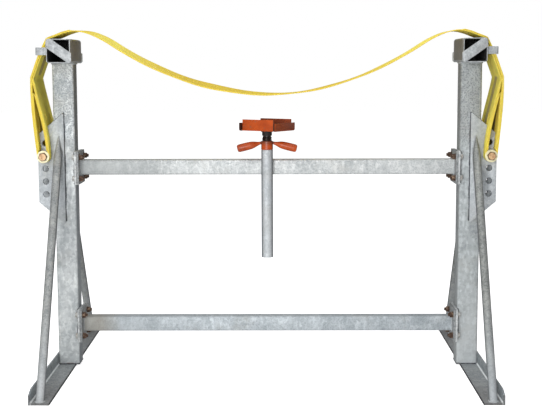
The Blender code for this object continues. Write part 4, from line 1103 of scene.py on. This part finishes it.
def webbing(name, base, shade, stripes=()):
    """Woven polyester: ribs across the width, weft along the run, soiled patches, a worn stripe, painted
    light.
    """
    made, shader, vector = new_material(name)
    nodes = made.node_tree.nodes
    uv = nodes.new("ShaderNodeUVMap")
    uv.uv_map = "webbing"
    weave = axes_of(uv.outputs[0])
    ribs = math_node("SINE", times(weave["X"], 2 * math.pi / RIB_PITCH))
    picks = math_node("SINE", times(weave["Y"], 2 * math.pi / PICK_PITCH))
    height = plus(times(ribs, 0.7), times(times(ribs, picks), 0.5))
    inward = times(axes_of(nodes.new("ShaderNodeNewGeometry").outputs["Normal"])["X"], axes_of(vector)["X"])
    # Painted light: faces turned toward the middle of the stand are coloured brighter.
    inward_painted_light = ranged(inward, -0.12, -0.40)
    colour = mixed(inward_painted_light, mixed(ranged(height, -1.1, 1.1), shade, base), (0.98, 0.82, 0.13))
    soiled = times(placed_group(GRIME, vector, Scale=16.0, Amount=0.55)["Mask"], 0.22)
    colour = mixed(soiled, colour, (0.42, 0.33, 0.07))
    edge = math_node("ABSOLUTE", weave["X"])
    selvedge = ranged(edge, SLING_WIDTH / 2 - 0.007, SLING_WIDTH / 2 - 0.003, 0.0, 0.45)
    colour = mixed(selvedge, colour, (0.86, 0.70, 0.14))
    for limits in stripes:
        band = times(ranged(edge, 0.034, 0.028, 0.0, 0.60), window(vector, limits))
        colour = mixed(times(band, inward_painted_light), colour, (0.19, 0.15, 0.17))
    feed(shader, {
        "Base Color": colour, "Roughness": 0.85, "Specular IOR Level": 0.22,
        "Subsurface Weight": 0.35, "Subsurface Radius": (1.0, 0.8, 0.25), "Subsurface Scale": 0.008,
        "Sheen Weight": 0.06, "Sheen Roughness": 0.5, "Sheen Tint": (1.0, 0.86, 0.35, 1),
        "Normal": relief(height, 0.20, 0.0009),
    })
    return made


stripe_z = kink_z + 0.006
keeper_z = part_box("strap_keeper_left")[0].z
STRIPES = (
    (("X", -1.0, -1.01), ("Z", stripe_z, stripe_z + 0.01), ("Z", keeper_z, keeper_z - 0.01)),
    (("X", 1.0, 1.01), ("Z", stripe_z, stripe_z - 0.01)),
)
YELLOW = webbing("yellow_webbing_outer", (0.76, 0.55, 0.048), (0.65, 0.455, 0.036), STRIPES)
YELLOW_INNER = webbing("yellow_webbing_inner", (0.80, 0.58, 0.050), (0.69, 0.49, 0.038), STRIPES)

half_band = middle_line + offset_path(eye_outside, -(SLING_PLY * 1.5 + PLY_GAP))
left_half = [(-x, z) for x, z in reversed(half_band[1:])]
mesh, band_length, band_area = ply_mesh(left_half + half_band, roll)
stands_for = ["sling_body", "sling_eye_left", "sling_eye_right"]
band = add_piece("sling_band", mesh, YELLOW_INNER, stands_for)
lap_line = offset_path(middle_line[lap_start:], SLING_PLY + PLY_GAP)
wrap = offset_path(eye_outside, -SLING_PLY / 2)
tail = offset_path(middle_line[-14:], -(SLING_PLY + PLY_GAP + 0.002))[::-1]
lining = offset_path(eye_outside, -(SLING_PLY * 2.5 + PLY_GAP * 2))
lined = [
    index for index, (outside, inside) in enumerate(zip(outer_leg, inner_leg))
    if outside[0] - inside[0] > 6 * (SLING_PLY + PLY_GAP) and outside[1] > bolt_z + LINING_CLEARANCE
]
linings = [[lining[index] for index in lined], [lining[-1 - index] for index in lined]]
for label, sign in SIDES:
    plies = [ply_mesh([(sign * x, z) for x, z in route]) for route in [lap_line + wrap + tail[1:]] + linings]
    mesh = merged([(ply, HERE) for ply, length, area in plies])
    lap = add_piece("sling_lap_" + label, mesh, YELLOW)

# Stitching
# Rows of thick thread through the doubled plies: along both selvedges and in a box at each kink.
STITCH_PITCH = 0.0085
STITCH_RADIUS = 0.0006
STITCH_LENGTH = 0.0060
THREAD = webbing("stitching_thread", (0.70, 0.56, 0.16), (0.52, 0.40, 0.10))
outer_face = offset_path(middle_line[lap_start:], SLING_PLY * 1.5 + PLY_GAP + 0.0002)
for label, sign in SIDES:
    routes = []
    for inset in (0.010, 0.020):
        for flank in (-1, 1):
            depth = flank * (SLING_WIDTH / 2 - inset)
            routes.append([(sign * x, depth, z) for x, z in outer_face[1:-1]])
    for index in (1, 2, 3, -2, -5, -8, -11):
        x, z = outer_face[index]
        routes.append([(sign * x, flank * (SLING_WIDTH / 2 - 0.010), z) for flank in (-1, 1)])
    mesh = beads(routes, THREAD, STITCH_PITCH, STITCH_RADIUS, STITCH_LENGTH)
    add_piece("lap_stitching_" + label, mesh, THREAD)

# Jack tube
# Plain galvanised pipe welded upright to the front of the upper beam.
PIPE_WALL = 0.0035
PIPE_EASE = 0.0006
low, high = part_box("jack_tube")
pipe_top = high.z
pipe_radius = (high.x - low.x) / 2
jack_y = (low.y + high.y) / 2
jack_axis = Matrix.Translation((0, jack_y, 0))
# Painted shade: the pipe is darkened along its two flanks.
PIPE_FLANK_SHADE = (("|X|", pipe_radius - 0.0100, pipe_radius - 0.0030),)
PIPE_ZINC = galvanised(
    "galvanised_pipe", (0.62, 0.65, 0.67), (0.40, 0.43, 0.45),
    zones=[(PIPE_FLANK_SHADE, 0.80, (0.13, 0.145, 0.16))],
)
profile = [
    (pipe_radius - PIPE_WALL, low.z), (pipe_radius - PIPE_EASE, low.z), (pipe_radius, low.z + PIPE_EASE),
    (pipe_radius, high.z - PIPE_EASE), (pipe_radius - PIPE_EASE, high.z), (pipe_radius - PIPE_WALL, high.z),
]
add_piece("jack_pipe", merged([(lathe(profile, 64, closed=True), jack_axis)], 40), PIPE_ZINC, ["jack_tube"])
beam_low, beam_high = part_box("upper_beam")
routes = [upright(x, beam_low.y, beam_low.z + 0.004, beam_high.z - 0.004) for x in (-0.010, 0.010)]
add_piece("jack_weld", beads(routes, WELD_ZINC, radius=0.0042, length=0.0056), WELD_ZINC)

# Jack screw
# Trapezoidal screw, 45 mm with a 7 mm pitch, dark with old grease. It slides in the tube.
SCREW_PITCH = 0.007
SPIGOT_RADIUS = 0.018
SPIGOT_LENGTH = 0.0237
CORE_DEPTH = 0.0035
RIDGE_DEPTH = 0.0014
RIDGE = ((-RIDGE_DEPTH, 0.0011), (-RIDGE_DEPTH, -0.0011), (0.0022, -0.0023), (0.0022, 0.0023))
low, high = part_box("jack_screw")
screw_radius = (high.x - low.x) / 2
shoulder_z = high.z - SPIGOT_LENGTH


def thread_tree(material):
    """Geometry Nodes: one ridge wound round a core."""
    takes = {"Geometry": "Geometry", "Radius": "Float", "Pitch": "Float", "Height": "Float"}
    tree, given, result = new_group("Geometry", "trapezoidal_thread", takes, {"Geometry": "Geometry"})
    helix = add_node("GeometryNodeCurveSpiral", {
        "Resolution": 40, "Rotations": math_node("DIVIDE", given["Height"], given["Pitch"]),
        "Start Radius": given["Radius"], "End Radius": given["Radius"], "Height": given["Height"],
    }).outputs["Curve"]
    sweep = {"Curve": helix, "Profile Curve": given["Geometry"], "Fill Caps": True}
    dressed(add_node("GeometryNodeCurveToMesh", sweep).outputs["Mesh"], material, result)
    return tree


def greased(name):
    """Dark steel with a smeared film of grease."""
    made, shader, vector = new_material(name)
    film = noise_node(vector, 60.0, 4.0)
    feed(shader, {
        "Base Color": mixed(ranged(film, 0.35, 0.7), (0.012, 0.011, 0.010), (0.075, 0.050, 0.038)),
        "Roughness": ranged(film, 0.3, 0.7, 0.25, 0.5), "Metallic": 0.6, "Normal": relief(film, 0.2, 0.0006),
    })
    return made


GREASED = greased("greased_screw_steel")
ridge = bpy.data.curves.new("ridge", "CURVE")
ridge.dimensions = "2D"
spline = ridge.splines.new("POLY")
spline.points.add(len(RIDGE) - 1)
for point, (depth, rise) in zip(spline.points, RIDGE):
    point.co = (depth, rise, 0, 1)
spline.use_cyclic_u = True
thread = grown(ridge, thread_tree(GREASED), {
    "Radius": screw_radius - RIDGE_DEPTH, "Pitch": SCREW_PITCH, "Height": shoulder_z - low.z - 2 * SCREW_PITCH,
})
core = lathe([
    (0, high.z), (SPIGOT_RADIUS - 0.001, high.z), (SPIGOT_RADIUS, high.z - 0.001),
    (SPIGOT_RADIUS, shoulder_z), (screw_radius - CORE_DEPTH, shoulder_z),
    (screw_radius - CORE_DEPTH, low.z + 0.003), (screw_radius - 0.006, low.z), (0, low.z),
], 64)
mesh = merged([(core, jack_axis), (thread, Matrix.Translation((0, jack_y, low.z + SCREW_PITCH)))], 35)
add_piece("lifting_screw", mesh, GREASED, ["jack_screw"], "jack_screw")

# Jack nut
# One iron casting: a ring that rests on the tube and two drooping club handles, painted orange.
RING_EASE = 0.001
RING_GAP = 0.0003
BORE_CLEARANCE = 0.0006
HANDLE_DROOP = 0.0295
DROOP_REACH = 0.1435
HANDLE_TRIM = 0.004
HANDLE_DROP = 0.008
CLUB = (
    (0.00, 0.0065), (0.06, 0.0068), (0.14, 0.0085), (0.21, 0.0110), (0.29, 0.0140), (0.37, 0.0164),
    (0.45, 0.0177), (0.60, 0.0185), (0.80, 0.0186), (0.91, 0.0183), (0.955, 0.0173), (0.983, 0.0154),
    (0.998, 0.0120),
)
low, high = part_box("jack_nut")
ring_base = pipe_top + RING_GAP
ring_radius = (high.y - low.y) / 2
bore = screw_radius + BORE_CLEARANCE
handle_end = (high.x - low.x) / 2


def orange_paint(name, light, dark, amount, zones, turned=0.0):
    """Thin orange paint, chipped to brown where rubbed; zones, some painted shade, lie about the jack's turned
    axis.
    """
    made, shader, vector = new_material(name)
    about_axis = add_node("ShaderNodeMapping", {
        "Vector": vector, "Rotation": (0, 0, -turned),
        "Location": Matrix.Rotation(-turned, 3, "Z") @ Vector((0, -jack_y, 0)),
    }).outputs[0]
    chips = placed_group(GRIME, vector, Scale=55.0, Amount=amount)["Mask"]
    colour = mixed(ranged(noise_node(vector, 18.0, 4.0), 0.3, 0.7), dark, light)
    colour = mixed(times(chips, 0.8), colour, (0.20, 0.12, 0.08))
    height = minus(noise_node(vector, 240.0, 2.0), chips)
    feed(shader, {
        "Base Color": zoned(colour, about_axis, zones), "Roughness": ranged(chips, 0, 1, 0.32, 0.62),
        "Specular IOR Level": 0.35, "Normal": relief(height, 0.18, 0.0006),
    })
    return made


# The ring is darker towards its top near the screw.
DARK_RING_TOP = (("|X|", 0.036, 0.031), ("Z", high.z - 0.024, high.z - 0.006))
# Painted shade: the ring is darkened along its two flanks.
RING_FLANK_SHADE = (("|X|", ring_radius - 0.006, ring_radius - 0.001), ("|X|", ring_radius + 0.004, ring_radius))
HANDLE_END = (("|X|", handle_end - 0.0065, handle_end - 0.0045),)
ORANGE_CASTING = orange_paint("orange_painted_casting", (0.56, 0.088, 0.012), (0.33, 0.045, 0.008), 0.29, [
    (DARK_RING_TOP, 0.80, (0.14, 0.045, 0.024)),
    (RING_FLANK_SHADE, 0.60, (0.12, 0.03, 0.012)),
    (HANDLE_END, 0.45, (0.16, 0.035, 0.014)),
])
ring = lathe([
    (bore, high.z - RING_EASE), (bore + RING_EASE, high.z), (ring_radius - RING_EASE, high.z),
    (ring_radius, high.z - RING_EASE), (ring_radius, ring_base + RING_EASE),
    (ring_radius - RING_EASE, ring_base), (bore, ring_base),
], 64, closed=True)
parts = [(ring, jack_axis)]
club_x = ring_radius - 0.003
tilt = math.atan2(HANDLE_DROOP, DROOP_REACH - club_x)
length = (handle_end - HANDLE_TRIM - club_x) / math.cos(tilt) - 0.004
club = lathe([(0, 0), *((radius, share * length) for share, radius in CLUB), (0, length)], 40)
for sign in (-1, 1):
    lean = Matrix.Rotation(sign * (math.pi / 2 + tilt), 4, "Y")
    parts.append((club, Matrix.Translation((sign * club_x, jack_y, high.z - HANDLE_DROP)) @ lean))
casting = finished(merged(parts), [
    ("REMESH", {"mode": "VOXEL", "voxel_size": 0.0011}),
    ("SMOOTH", {"factor": 0.5, "iterations": 8}),
])
casting.shade_smooth()
add_piece("handle_nut", casting, ORANGE_CASTING, ["jack_nut"], "jack_nut")

# Jack tray
# Steel plates welded to a head that turns on the screw: two tall flanges and two lower lips.
# The lips stand nearer to the plate than the solid's do, as measured in the photograph.
TRAY_TURN = math.radians(-34.0)
TRAY_BASE = 1.1236
FLANGE_END = 0.086
FLANGE_INSIDE = 0.070
LIP_INSIDE = 0.0925
LIP_TRIM = 0.0075
NEAR_BLACK = (0.030, 0.013, 0.008)
# Painted shade: the collar under the tray is near black.
NECK_SHADE = (("|X|", 0.036, 0.034), ("Z", TRAY_BASE, TRAY_BASE - 0.0006))
# Painted shade: the gap between each flange's end and its lip is near black.
CORNER_GAP_SHADE = (
    ("|X|", FLANGE_END - 0.0004, FLANGE_END + 0.0002), ("|X|", LIP_INSIDE + 0.0020, LIP_INSIDE + 0.0012),
)
# Painted shade: the tray's floor between the flanges is darker.
TRAY_INSIDE_SHADE = (("|Y|", FLANGE_INSIDE + 0.0012, FLANGE_INSIDE + 0.0004), ("Z", TRAY_BASE, TRAY_BASE + 0.003))
# The lips' outer parts are darker.
DARKER_LIP = (("|X|", LIP_INSIDE + 0.002, LIP_INSIDE + 0.003),)
LIP_END = (("|X|", FLANGE_END + 0.002, FLANGE_END + 0.003), ("|Y|", 0.0835, 0.0850))
ORANGE_STEEL = orange_paint("orange_painted_steel", (0.54, 0.088, 0.014), (0.36, 0.052, 0.009), 0.32, [
    (TRAY_INSIDE_SHADE, 0.60, (0.16, 0.040, 0.018)),
    (DARKER_LIP, 0.50, (0.22, 0.045, 0.014)),
    (CORNER_GAP_SHADE, 0.90, NEAR_BLACK),
    (LIP_END, 0.90, NEAR_BLACK),
    (NECK_SHADE, 1.0, (0.012, 0.009, 0.008)),
], TRAY_TURN)
mesh = eased_copy("jack_tray", 0.0009)
unturned = Matrix.Rotation(-TRAY_TURN, 4, "Z") @ jack_axis.inverted()
mesh.transform(unturned)
for vert in mesh.vertices:
    if abs(vert.co.x) > FLANGE_END + 0.004:
        vert.co.x -= math.copysign(LIP_TRIM, vert.co.x)
mesh.transform(unturned.inverted())
add_piece("swivel_tray", mesh, ORANGE_STEEL, ["jack_tray"], "jack_tray")

low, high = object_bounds()
